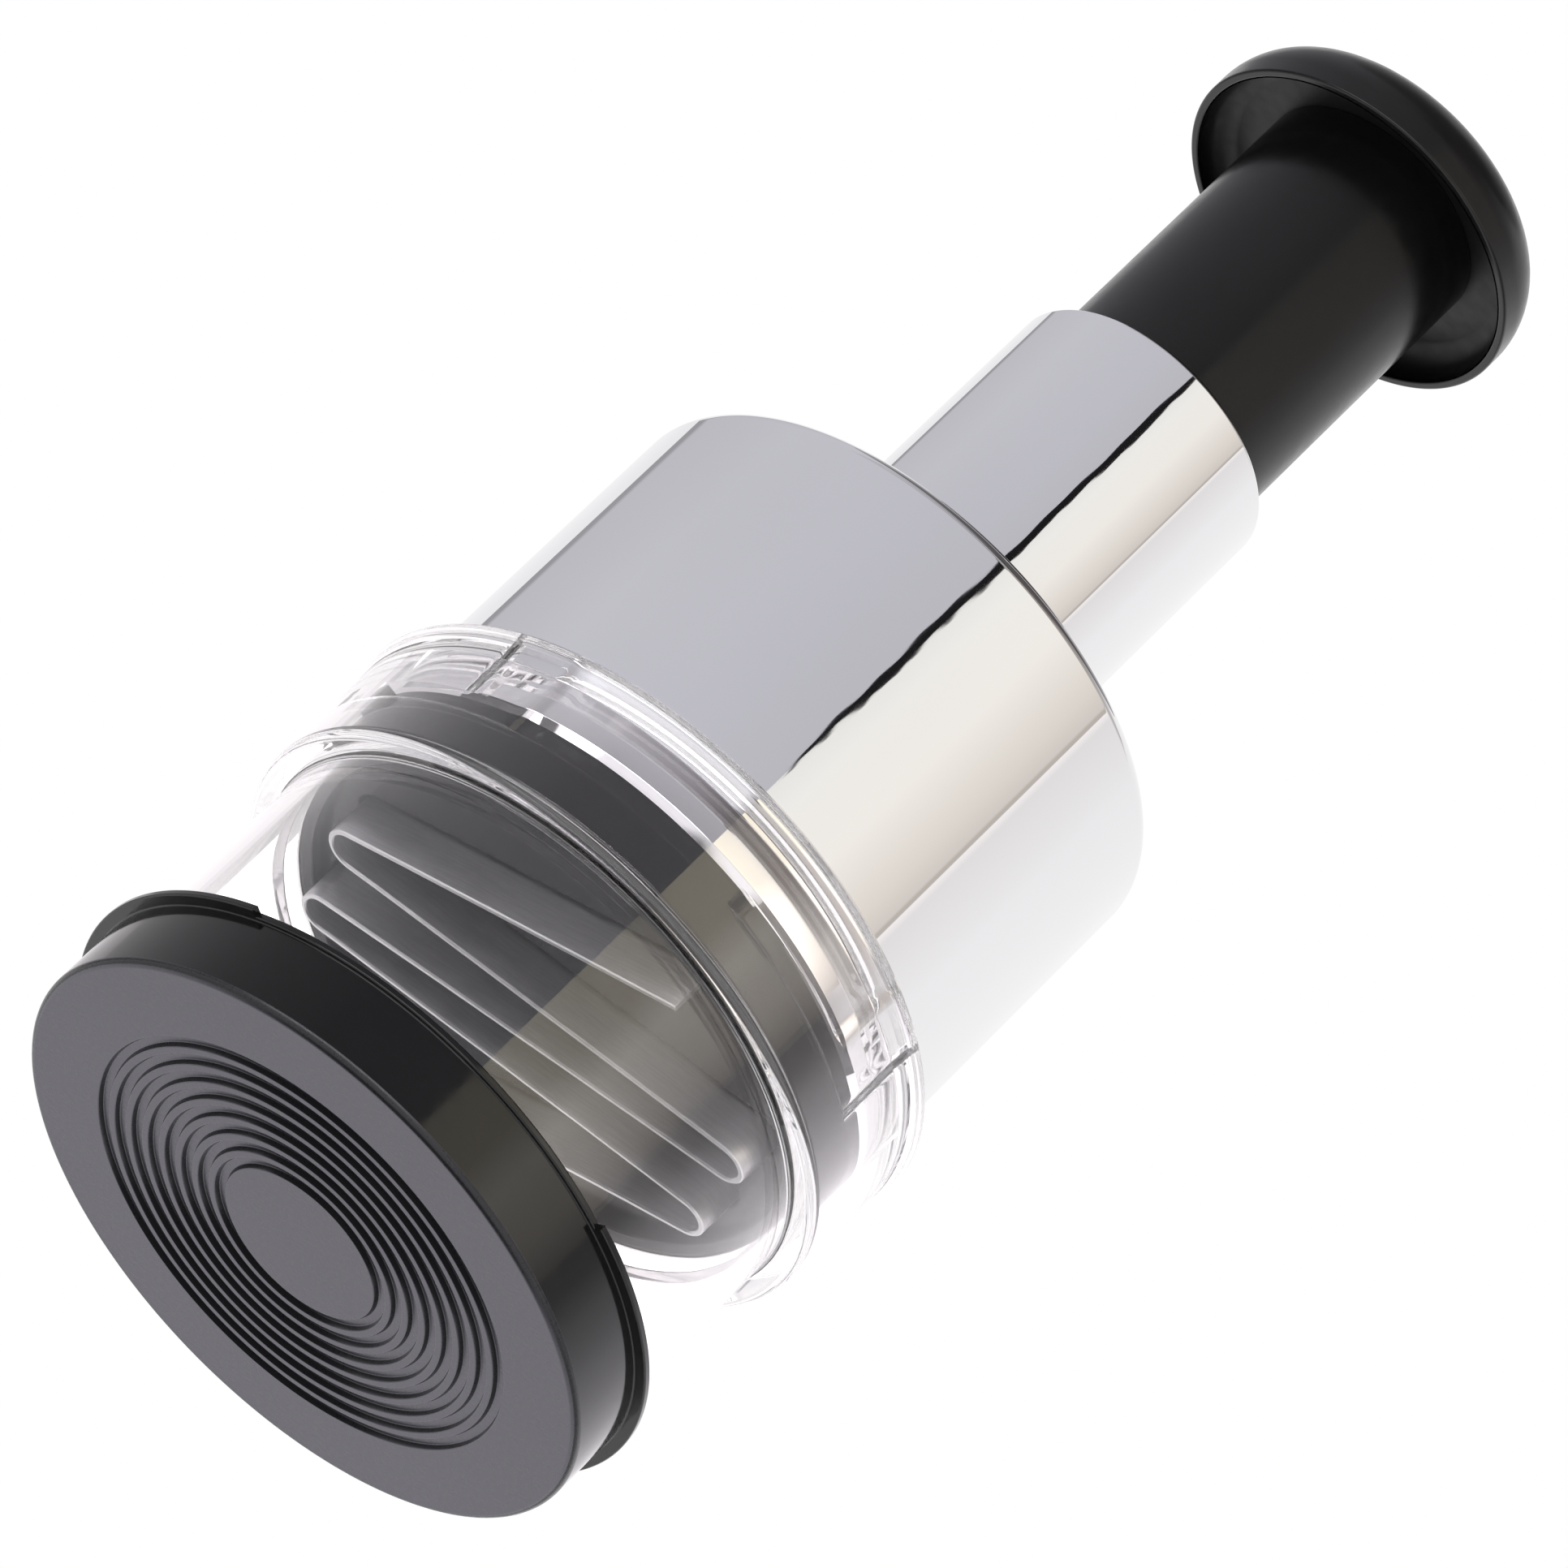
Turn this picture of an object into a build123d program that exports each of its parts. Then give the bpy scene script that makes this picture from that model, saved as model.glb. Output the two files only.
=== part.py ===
from build123d import *
import math
import os

# Palm-press garlic mincer, standing on its base cap.
# The origin is the centre of the base cap's flat face, and +Z runs up along the plunger.
# Lengths are millimetres and angles are degrees.

os.makedirs("parts", exist_ok=True)

# Fits and gaps that several pieces share
running_gap = 0.08
fixed_gap = 0.02
seat_gap = 0.1
overrun = 1.0

# Base cap
cap_wall = 1.82
cap_height = 12.0
cap_floor = 2.6
cap_edge_radius = 1.0
cap_bead_overhang = 0.6
cap_bead_height = 1.0
tab_overhang = 1.7
tab_height = 1.0
tab_start_angles = (-58, 122)
tab_sweep_angle = 102
groove_count = 8
groove_inner_radius = 12.6
groove_outer_radius = 31.2
groove_width = 1.4
groove_depth = 0.7

# Clear cup: a plain lower section and a wider bayonet collar
cup_inset = 0.1
cup_wall = 2.2
cup_length = 40.4
cup_mouth_radius = 0.6
collar_height = 21.8
collar_gap = 0.5
collar_wall = 3.0
collar_foot_radius = 0.8
collar_flare_overhang = 0.9
collar_flare_height = 3.9
collar_lip_height = 1.5
collar_lip_round_share = 0.78

# Chromed shell
barrel_radius = 41.5
neck_height = 51.5
shell_wall = 0.8
shell_lead_width = 0.42
shell_lead_height = 1.4
shoulder_radius = 2.2
neck_edge_radius = 0.5

# Bayonet ring under the shell
ring_height = 9.2
ring_wall = 2.7
ledge_width = 1.5
ledge_height = 1.8
lug_count = 4
lug_first_angle = -164
lug_angle = 8
lug_height = 2.4
lug_reach = 1.1
lug_rise = 6.5
lug_gap = 0.3
lug_gap_angle = 1
unlock_angle = 30

# Wiper plate and the ring that keeps it down
plate_height = 3.0
plate_gap = 0.3
retainer_height = 1.6

# Liner inside the shell
liner_gap = 0.1
spigot_wall = 1.1
spigot_depth = 2.4
web_height = 4.0
web_gap = 0.2
guide_wall = 1.2
guide_clearance = 0.5

# Bush at the neck's mouth
bush_wall = 1.0
bush_length = 12.0
bush_flange_width = 0.9
bush_flange_height = 0.8

# Plunger tube and its travel
tube_radius = 16.7
tube_wall = 2.5
tube_tail = 5.0
knob_stop_gap = 8.1
chop_gap = 1.2

# Index ring with its two keys, and its screws
index_height = 4.0
index_width = 8.7
index_clearance = 0.6
key_width = 2.0
key_tip_radius = 3.4
key_gap = 0.4
key_count = 2
index_turn = 30
screw_count = 3
screw_first_angle = 30
screw_shank_radius = 1.5
screw_bite = 3.0
screw_head_radius = 2.8
screw_head_height = 1.8
screw_slot_width = 0.7
screw_slot_depth = 0.8

# Shaft, with its screw and washer in the knob
shaft_radius = 4.5
shaft_margin = 0.8
spiral_run_out = 2.0
spiral_stations = 9
washer_height = 0.7
washer_border = 1.2
shaft_screw_radius = 1.6
shaft_screw_length = 10.0
shaft_head_radius = 6.2
shaft_head_height = 1.4

# Knob and its snap-in cover
knob_radius = 25.6
knob_rim_wall = 1.3
knob_rim_height = 2.5
knob_lean = 4.0
knob_web = 1.3
bowl_depth = 4.7
bowl_corner_width = 3.3
plug_length = 10.0
cover_border = 1.8
cover_height = 1.6
cover_crown = 1.3
well_side_gap = 0.6
well_head_gap = 0.2

# Return spring between its two seats
seat_height = 1.2
seat_clearance = 0.4
spring_side_gap = 2.5
wire_radius = 0.8
spring_turns = 13

# Blade and its holder: hairpin centres and free tip are shares of the blade's reach
blade_clearance = 1.3
blade_drop = 6.5
blade_thickness = 0.8
blade_bevel_share = 0.375
blade_seat = 2.5
hairpin_radius = 3.0
hairpin_shares = ((-0.842, -0.053), (0.778, -0.417))
tip_shares = (0.306, -0.942)
slot_gap = 0.6
holder_clearance = 0.7
holder_height = 5.0
holder_gap = 1.0
boss_radius = 8.5
boss_height = 8.0
carrier_gap = 5.1
holder_pin_radius = 1.2

# Heights, stacked from the standing face
cup_bottom = cap_floor + seat_gap
cup_step = cup_bottom + cup_length
collar_floor = cup_step + cup_wall
collar_top = cup_step + collar_height
ring_bottom = collar_floor + seat_gap
ring_top = ring_bottom + ring_height
plate_bottom = ring_bottom + ledge_height + seat_gap
plate_top = plate_bottom + plate_height
retainer_bottom = plate_top + plate_gap
blade_bottom = plate_bottom - blade_drop
press_travel = blade_bottom - cap_floor - chop_gap
holder_bottom = plate_top + press_travel + holder_gap
holder_top = holder_bottom + holder_height
boss_top = holder_top + boss_height
blade_top = holder_bottom + blade_seat
shaft_bottom = blade_top + shaft_margin
index_bottom = boss_top + carrier_gap
web_bottom = index_bottom + index_height
web_top = web_bottom + web_height
shoulder_top = web_top + web_gap + shell_wall
neck_top = shoulder_top + neck_height
slot_bottom = index_bottom - key_gap
slot_top = web_bottom + press_travel + key_gap
tube_bottom = slot_bottom - tube_tail
knob_rim = neck_top + press_travel + knob_stop_gap
bowl_floor = knob_rim + bowl_depth
plug_bottom = bowl_floor - plug_length
well_floor = bowl_floor + knob_web
shaft_top = well_floor + washer_height + seat_gap
cover_bottom = shaft_top + shaft_head_height + well_head_gap
knob_crest = cover_bottom + cover_height

# Radii that follow from what each piece fits
cup_radius = barrel_radius - cup_inset
cup_bore = cup_radius - cup_wall
cap_bore = cup_radius + running_gap
cap_radius = cap_bore + cap_wall
collar_bore = barrel_radius + collar_gap
collar_radius = collar_bore + collar_wall
ring_bore = barrel_radius - ring_wall
ledge_bore = ring_bore - ledge_width
plate_radius = ring_bore - running_gap
blade_reach = ledge_bore - blade_clearance
holder_radius = ledge_bore - holder_clearance
spigot_radius = ring_bore + spigot_wall
liner_radius = barrel_radius - shell_wall - liner_gap
tube_guide_bore = tube_radius + running_gap
tube_bore = tube_radius - tube_wall
bush_radius = tube_guide_bore + bush_wall
bush_seat = bush_radius + fixed_gap
guide_radius = bush_seat + guide_wall
neck_radius = guide_radius + liner_gap + shell_wall
index_bore = tube_radius + index_clearance
index_radius = index_bore + index_width
screw_circle_radius = (index_bore + index_radius) / 2
washer_radius = shaft_head_radius + washer_border
screw_well_radius = washer_radius + well_side_gap
knob_crest_radius = knob_radius - knob_lean
cover_radius = knob_crest_radius - cover_border
spring_radius = tube_bore - seat_clearance - spring_side_gap - wire_radius


def turn_outline(points, mode=Mode.ADD):
    """Turn a closed outline of (radius, height) points about the plunger's axis."""
    with BuildSketch(Plane.XZ) as outline:
        with BuildLine():
            Polyline(*points, close=True)
        make_face()
    revolve(outline.sketch, axis=Axis.Z, mode=mode)


def ring_band(inner, outer, bottom, top, mode=Mode.ADD):
    """A plain ring between two radii and two heights."""
    turn_outline(((inner, bottom), (outer, bottom), (outer, top), (inner, top)), mode)


def ring_sector(inner, outer, bottom, height, start, sweep_angle, mode=Mode.ADD):
    """A ring cut short to a sector, from its start angle through its sweep angle."""
    with BuildSketch(Plane.XY.offset(bottom)) as sector:
        with BuildLine():
            outer_arc = CenterArc((0, 0), outer, start, sweep_angle)
            inner_arc = CenterArc((0, 0), inner, start, sweep_angle)
            Line(outer_arc @ 0, inner_arc @ 0)
            Line(outer_arc @ 1, inner_arc @ 1)
        make_face()
    extrude(sector.sketch, amount=height, mode=mode)


def round_edge(piece, radius, height):
    """The full round edge of a turned piece that is nearest to this radius and height."""
    circles = piece.edges().filter_by(GeomType.CIRCLE)
    return min(circles, key=lambda e: math.hypot(e.radius - radius, e.arc_center.Z - height))


# Base cap: turned dish with a bead and two pull tabs on its rim, and round grooves in its standing face
with BuildPart() as base_cap:
    turn_outline((
        (0, 0), (cap_radius, 0), (cap_radius, cap_height),
        (cap_bore, cap_height), (cap_bore, cap_floor), (0, cap_floor),
    ))
    fillet(round_edge(base_cap, cap_radius, 0), cap_edge_radius)
    ring_band(cap_bore, cap_radius + cap_bead_overhang, cap_height - cap_bead_height, cap_height)
    for tab_start in tab_start_angles:
        ring_sector(
            cap_bore, cap_radius + tab_overhang,
            cap_height - tab_height, tab_height, tab_start, tab_sweep_angle,
        )
    groove_pitch = (groove_outer_radius - groove_inner_radius) / (groove_count - 1)
    for groove in range(groove_count):
        groove_radius = groove_inner_radius + groove * groove_pitch
        ring_band(
            groove_radius - groove_width / 2, groove_radius + groove_width / 2,
            0, groove_depth, mode=Mode.SUBTRACT,
        )
base_cap.part.label = "base_cap"
export_step(base_cap.part, "parts/base_cap.step")

# Clear cup: one turned wall with a flared mouth, and an entry slot and a locking slot for each lug
with BuildPart() as clear_cup:
    lip_radius = collar_radius + collar_flare_overhang
    turn_outline((
        (cup_bore, cup_bottom), (cup_radius, cup_bottom), (cup_radius, cup_step),
        (collar_radius, cup_step), (collar_radius, collar_top - collar_flare_height),
        (lip_radius, collar_top - collar_lip_height), (lip_radius, collar_top),
        (collar_bore, collar_top), (collar_bore, collar_floor), (cup_bore, collar_floor),
    ))
    fillet(round_edge(clear_cup, collar_radius, cup_step), collar_foot_radius)
    fillet(round_edge(clear_cup, lip_radius, collar_top), collar_flare_overhang * collar_lip_round_share)
    fillet(round_edge(clear_cup, cup_bore, cup_bottom), cup_mouth_radius)
    slot_radius = barrel_radius + lug_reach + running_gap
    slot_floor = ring_bottom + lug_rise - lug_gap
    slot_angle = lug_angle + 2 * lug_gap_angle
    for lug in range(lug_count):
        slot_start = lug_first_angle + lug * 360 / lug_count - slot_angle / 2
        ring_sector(
            collar_bore - overrun, slot_radius, slot_floor, lug_height + 2 * lug_gap,
            slot_start, slot_angle + unlock_angle, mode=Mode.SUBTRACT,
        )
        ring_sector(
            collar_bore - overrun, slot_radius, slot_floor, collar_top - slot_floor + overrun,
            slot_start + unlock_angle, slot_angle, mode=Mode.SUBTRACT,
        )
clear_cup.part.label = "clear_cup"
export_step(clear_cup.part, "parts/clear_cup.step")

# Bayonet ring: carries the wiper plate on its ledge and the cup on its lugs
with BuildPart() as bayonet_ring:
    counterbore = spigot_radius + fixed_gap
    turn_outline((
        (ledge_bore, ring_bottom), (barrel_radius, ring_bottom), (barrel_radius, ring_top),
        (counterbore, ring_top), (counterbore, ring_top - spigot_depth),
        (ring_bore, ring_top - spigot_depth), (ring_bore, ring_bottom + ledge_height),
        (ledge_bore, ring_bottom + ledge_height),
    ))
    for lug in range(lug_count):
        ring_sector(
            counterbore, barrel_radius + lug_reach, ring_bottom + lug_rise, lug_height,
            lug_first_angle + lug * 360 / lug_count - lug_angle / 2, lug_angle,
        )
bayonet_ring.part.label = "bayonet_ring"
export_step(bayonet_ring.part, "parts/bayonet_ring.step")

# Chromed shell: thin barrel drawn in at its lower end, flat shoulder, and neck with a lip turned in at its mouth
with BuildPart() as chrome_shell:
    lip_bore = bush_radius + seat_gap
    turn_outline((
        (barrel_radius - shell_lead_width, ring_top), (barrel_radius, ring_top + shell_lead_height),
        (barrel_radius, shoulder_top), (neck_radius, shoulder_top),
        (neck_radius, neck_top), (lip_bore, neck_top), (lip_bore, neck_top - shell_wall),
        (neck_radius - shell_wall, neck_top - shell_wall),
        (neck_radius - shell_wall, shoulder_top - shell_wall),
        (barrel_radius - shell_wall, shoulder_top - shell_wall),
        (barrel_radius - shell_wall, ring_top),
    ))
    fillet(round_edge(chrome_shell, barrel_radius, shoulder_top), shoulder_radius)
    fillet(
        round_edge(chrome_shell, barrel_radius - shell_wall, shoulder_top - shell_wall),
        shoulder_radius - shell_wall,
    )
    fillet(round_edge(chrome_shell, neck_radius, neck_top), neck_edge_radius)
chrome_shell.part.label = "chrome_shell"
export_step(chrome_shell.part, "parts/chrome_shell.step")

# Liner: sleeve inside the barrel, web under the shoulder and guide tube inside the neck
with BuildPart() as inner_liner:
    guide_top = neck_top - shell_wall
    guide_bore = tube_radius + guide_clearance
    turn_outline((
        (ring_bore, ring_top - spigot_depth), (spigot_radius, ring_top - spigot_depth),
        (spigot_radius, ring_top), (liner_radius, ring_top),
        (liner_radius, web_top - shoulder_radius), (liner_radius - shoulder_radius, web_top),
        (guide_radius, web_top), (guide_radius, guide_top),
        (bush_seat, guide_top), (bush_seat, guide_top - bush_length),
        (guide_bore, guide_top - bush_length), (guide_bore, web_top),
        (tube_guide_bore, web_top), (tube_guide_bore, web_bottom), (ring_bore, web_bottom),
    ))
    with BuildSketch(Plane.XY.offset(web_bottom)):
        with PolarLocations(screw_circle_radius, screw_count, screw_first_angle):
            Circle(screw_shank_radius + fixed_gap)
    extrude(amount=screw_bite + seat_gap, mode=Mode.SUBTRACT)
inner_liner.part.label = "inner_liner"
export_step(inner_liner.part, "parts/inner_liner.step")

# Neck bush: sleeve in the liner's mouth, with a flange that holds the shell's lip down
with BuildPart() as neck_bush:
    turn_outline((
        (tube_guide_bore, neck_top - shell_wall - bush_length),
        (bush_radius, neck_top - shell_wall - bush_length), (bush_radius, neck_top),
        (bush_radius + bush_flange_width, neck_top),
        (bush_radius + bush_flange_width, neck_top + bush_flange_height),
        (tube_guide_bore, neck_top + bush_flange_height),
    ))
neck_bush.part.label = "neck_bush"
export_step(neck_bush.part, "parts/neck_bush.step")

# Index ring: screwed under the web, with keys that reach through the tube's slots to the shaft
with BuildPart() as index_ring:
    ring_band(index_bore, index_radius, index_bottom, web_bottom)
    key_length = screw_circle_radius - key_tip_radius
    with BuildSketch(Plane.XY.offset(index_bottom)):
        with PolarLocations(key_tip_radius, key_count):
            Rectangle(key_length, key_width, align=(Align.MIN, Align.CENTER))
    extrude(amount=index_height)
    with BuildSketch(Plane.XY.offset(index_bottom)):
        with PolarLocations(screw_circle_radius, screw_count, screw_first_angle):
            Circle(screw_shank_radius + fixed_gap)
    extrude(amount=index_height, mode=Mode.SUBTRACT)
index_ring.part.label = "index_ring"
export_step(index_ring.part, "parts/index_ring.step")

# Index screws: slotted pan heads under the ring, shanks up into the web
with BuildPart() as index_screws:
    with BuildSketch(Plane.XY.offset(index_bottom - screw_head_height)):
        with PolarLocations(screw_circle_radius, screw_count, screw_first_angle):
            Circle(screw_head_radius)
    extrude(amount=screw_head_height)
    with BuildSketch(Plane.XY.offset(index_bottom)):
        with PolarLocations(screw_circle_radius, screw_count, screw_first_angle):
            Circle(screw_shank_radius)
    extrude(amount=index_height + screw_bite)
    with BuildSketch(Plane.XY.offset(index_bottom - screw_head_height)):
        with PolarLocations(screw_circle_radius, screw_count, screw_first_angle):
            Rectangle(2 * screw_head_radius, screw_slot_width)
    extrude(amount=screw_slot_depth, mode=Mode.SUBTRACT)
index_screws.part.label = "index_screws"
export_step(index_screws.part, "parts/index_screws.step")

# Plunger tube: slides in the bush and the web, with a long slot for each key
with BuildPart() as plunger_tube:
    ring_band(tube_bore, tube_radius, tube_bottom, bowl_floor)
    with BuildSketch(Plane.XY.offset(slot_bottom)):
        with PolarLocations((tube_bore + tube_radius) / 2, key_count):
            Rectangle(tube_wall + 2 * overrun, key_width + 2 * key_gap)
    extrude(amount=slot_top - slot_bottom, mode=Mode.SUBTRACT)
plunger_tube.part.label = "plunger_tube"
export_step(plunger_tube.part, "parts/plunger_tube.step")

# Knob: mushroom with a hollow underside, a plug for the tube and a well for the shaft's screw
with BuildPart() as knob:
    plug_radius = tube_bore - fixed_gap
    shaft_hole = shaft_radius + running_gap
    bowl_radius = knob_radius - knob_rim_wall
    bowl_floor_radius = bowl_radius - bowl_corner_width
    with BuildSketch(Plane.XZ):
        with BuildLine():
            side_foot = (knob_radius, knob_rim + knob_rim_height)
            Line((knob_radius, knob_rim), side_foot)
            TangentArc(side_foot, (knob_crest_radius, knob_crest), tangent=(0, 1))
            Polyline(
                (knob_crest_radius, knob_crest), (cover_radius + fixed_gap, knob_crest),
                (cover_radius + fixed_gap, cover_bottom), (screw_well_radius, cover_bottom),
                (screw_well_radius, well_floor), (shaft_hole, well_floor), (shaft_hole, plug_bottom),
                (plug_radius, plug_bottom), (plug_radius, bowl_floor), (bowl_floor_radius, bowl_floor),
            )
            TangentArc((bowl_floor_radius, bowl_floor), (bowl_radius, knob_rim), tangent=(1, 0))
            Line((bowl_radius, knob_rim), (knob_radius, knob_rim))
        make_face()
    revolve(axis=Axis.Z)
knob.part.label = "knob"
export_step(knob.part, "parts/knob.step")

# Knob cover: crowned disc that snaps into the knob's top
with BuildPart() as knob_cover:
    with BuildSketch(Plane.XZ):
        with BuildLine():
            Polyline((0, knob_crest + cover_crown), (0, cover_bottom), (cover_radius, cover_bottom))
            Line((cover_radius, cover_bottom), (cover_radius, knob_crest))
            TangentArc((0, knob_crest + cover_crown), (cover_radius, knob_crest), tangent=(1, 0))
        make_face()
    revolve(axis=Axis.Z)
knob_cover.part.label = "knob_cover"
export_step(knob_cover.part, "parts/knob_cover.step")


def spiral_groove(first_angle):
    """Cut the spiral groove that the key at this angle runs in while the plunger travels."""
    length = index_height + press_travel + 2 * spiral_run_out
    middle = index_bottom + index_height / 2
    sections = []
    for station in range(spiral_stations):
        height = index_bottom - spiral_run_out + length * station / (spiral_stations - 1)
        angle = first_angle + (height - middle) * index_turn / press_travel
        outward = Vector(1, 0, 0).rotate(Axis.Z, angle)
        with BuildSketch(Plane((0, 0, height), x_dir=outward, z_dir=(0, 0, 1))) as section:
            with Locations((key_tip_radius - key_gap, 0)):
                Rectangle(shaft_radius, key_width + 2 * key_gap, align=(Align.MIN, Align.CENTER))
        sections.append(section.sketch.face())
    loft(sections, ruled=True, mode=Mode.SUBTRACT)


# Drive shaft: turns in the knob, with a spiral groove for each key
with BuildPart() as drive_shaft:
    ring_band(0, shaft_radius, shaft_bottom, shaft_top)
    for key in range(key_count):
        spiral_groove(key * 360 / key_count)
    with Locations((0, 0, shaft_top)):
        Hole(shaft_screw_radius + fixed_gap, depth=shaft_screw_length + seat_gap)
    with BuildSketch(Plane.YZ.offset(-shaft_radius)):
        with Locations((0, holder_top + boss_height / 2)):
            Circle(holder_pin_radius + fixed_gap)
    extrude(amount=2 * shaft_radius, mode=Mode.SUBTRACT)
drive_shaft.part.label = "drive_shaft"
export_step(drive_shaft.part, "parts/drive_shaft.step")

# Thrust washer in the knob's well, under the shaft screw's head
with BuildPart() as thrust_washer:
    ring_band(shaft_radius + seat_gap, washer_radius, well_floor, well_floor + washer_height)
thrust_washer.part.label = "thrust_washer"
export_step(thrust_washer.part, "parts/thrust_washer.step")

# Shaft screw: its head keeps the shaft hung in the knob
with BuildPart() as shaft_screw:
    ring_band(0, shaft_head_radius, shaft_top, shaft_top + shaft_head_height)
    ring_band(0, shaft_screw_radius, shaft_top - shaft_screw_length, shaft_top)
    with BuildSketch(Plane.XY.offset(shaft_top + shaft_head_height)):
        Rectangle(2 * shaft_head_radius, screw_slot_width)
    extrude(amount=-screw_slot_depth, mode=Mode.SUBTRACT)
shaft_screw.part.label = "shaft_screw"
export_step(shaft_screw.part, "parts/shaft_screw.step")

# Spring seats: one washer on the keys, one under the knob's plug
with BuildPart() as lower_spring_seat:
    ring_band(
        shaft_radius + seat_clearance, tube_bore - seat_clearance,
        web_bottom, web_bottom + seat_height,
    )
lower_spring_seat.part.label = "lower_spring_seat"
export_step(lower_spring_seat.part, "parts/lower_spring_seat.step")

with BuildPart() as upper_spring_seat:
    ring_band(
        shaft_radius + seat_clearance, tube_bore - seat_clearance,
        plug_bottom - seat_height, plug_bottom,
    )
upper_spring_seat.part.label = "upper_spring_seat"
export_step(upper_spring_seat.part, "parts/upper_spring_seat.step")

# Return spring: one wire along a helix made of half-turn biarcs, each end straight for one wire diameter
spring_slope_share = 1 / (2 * math.pi * spring_radius * spring_turns)
spring_space = plug_bottom - web_bottom - 2 * (seat_height + seat_gap + wire_radius)
spring_rise = spring_space / (1 + 4 * wire_radius * spring_slope_share)
spring_start = (plug_bottom + web_bottom - spring_rise) / 2


def helix_point(turn):
    """Place on the spring's helix after this many turns."""
    angle = 2 * math.pi * turn
    rise = spring_rise * turn / spring_turns
    return Vector(spring_radius * math.cos(angle), spring_radius * math.sin(angle), spring_start + rise)


def helix_heading(turn):
    """Unit direction of the spring's helix after this many turns."""
    angle = 2 * math.pi * turn
    around = 2 * math.pi * spring_radius
    rise = spring_rise / spring_turns
    return Vector(-around * math.sin(angle), around * math.cos(angle), rise).normalized()


def biarc_joint(start, start_heading, end, end_heading):
    """Place where two equal-armed tangent arcs meet between two headed points."""
    chord = end - start
    headings = start_heading + end_heading
    spread = 2 * (1 - start_heading.dot(end_heading))
    lean = chord.dot(headings)
    arm = (math.sqrt(lean * lean + spread * chord.dot(chord)) - lean) / spread
    return (start + end + (start_heading - end_heading) * arm) * 0.5


with BuildPart() as return_spring:
    with BuildLine() as coil:
        lead = helix_heading(0) * (2 * wire_radius)
        Line(helix_point(0) - lead, helix_point(0))
        for half in range(2 * spring_turns):
            ends = [half / 2, (half + 1) / 2]
            points = [helix_point(turn) for turn in ends]
            headings = [helix_heading(turn) for turn in ends]
            joint = biarc_joint(points[0], headings[0], points[1], headings[1])
            first_arc = TangentArc(points[0], joint, tangent=headings[0])
            TangentArc(joint, points[1], tangent=first_arc % 1)
        lead = helix_heading(spring_turns) * (2 * wire_radius)
        Line(helix_point(spring_turns), helix_point(spring_turns) + lead)
    coil_wire = coil.wire()
    with BuildSketch(Plane(coil_wire @ 0, z_dir=coil_wire % 0)):
        Circle(wire_radius)
    sweep(path=coil_wire)
return_spring.part.label = "return_spring"
export_step(return_spring.part, "parts/return_spring.step")

samples_per_turn = 24
coil_points = [helix_point(n / samples_per_turn) for n in range(samples_per_turn * spring_turns + 1)]
coil_gap = min(
    (coil_points[i] - coil_points[j]).length
    for i in range(len(coil_points))
    for j in range(i + samples_per_turn // 2, len(coil_points))
) - 2 * wire_radius
print(f"return spring: least gap between turns {coil_gap:.2f} mm")
print(f"return spring: wire volume over section times length "
      f"{return_spring.part.volume / (math.pi * wire_radius ** 2 * coil_wire.length):.4f}")


def perpendicular(vector):
    """The vector turned a quarter turn anticlockwise, seen from above."""
    return Vector(-vector.Y, vector.X)


def crossing_normal(start, end, side):
    """Unit normal, at the start hairpin, of the run that crosses over to the end hairpin's other side."""
    along = (end - start).normalized()
    lean = 2 * hairpin_radius / (end - start).length
    return along * lean + perpendicular(along) * (side * math.sqrt(1 - lean * lean))


def tip_normal(tip, centre, side):
    """Unit normal, at a hairpin, of the run that comes from a free tip."""
    along = (tip - centre).normalized()
    lean = hairpin_radius / (tip - centre).length
    return along * lean + perpendicular(along) * (side * math.sqrt(1 - lean * lean))


def blade_route(tip_extension):
    """Centre line of the blade from tip to tip: straight runs that touch four hairpin arcs.
    The second half is the first half turned through half a turn."""
    first, second = [Vector(x, y) * blade_reach for x, y in hairpin_shares]
    tip = Vector(*tip_shares) * blade_reach
    entry = first + tip_normal(tip, first, -1) * hairpin_radius
    tip = tip + (tip - entry).normalized() * tip_extension
    crossing = crossing_normal(first, second, 1) * hairpin_radius
    middle = crossing_normal(second, -second, -1) * hairpin_radius
    first_far = first + (first - (tip + second) * 0.5).normalized() * hairpin_radius
    second_far = second + second.normalized() * hairpin_radius
    with BuildLine() as route:
        for turn in (1, -1):
            Line(tip * turn, entry * turn)
            ThreePointArc(entry * turn, first_far * turn, (first + crossing) * turn)
            Line((first + crossing) * turn, (second - crossing) * turn)
            ThreePointArc((second - crossing) * turn, second_far * turn, (second + middle) * turn)
        Line(second + middle, -second - middle)
    return route.wire()


# Zigzag blade: stainless strip on edge, bevelled below
with BuildPart() as zigzag_blade:
    with BuildSketch(Plane.XY.offset(blade_bottom)):
        trace(blade_route(0), line_width=blade_thickness)
    extrude(amount=blade_top - blade_bottom)
    chamfer(zigzag_blade.faces().sort_by(Axis.Z)[0].edges(), blade_thickness * blade_bevel_share)
zigzag_blade.part.label = "zigzag_blade"
export_step(zigzag_blade.part, "parts/zigzag_blade.step")

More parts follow.
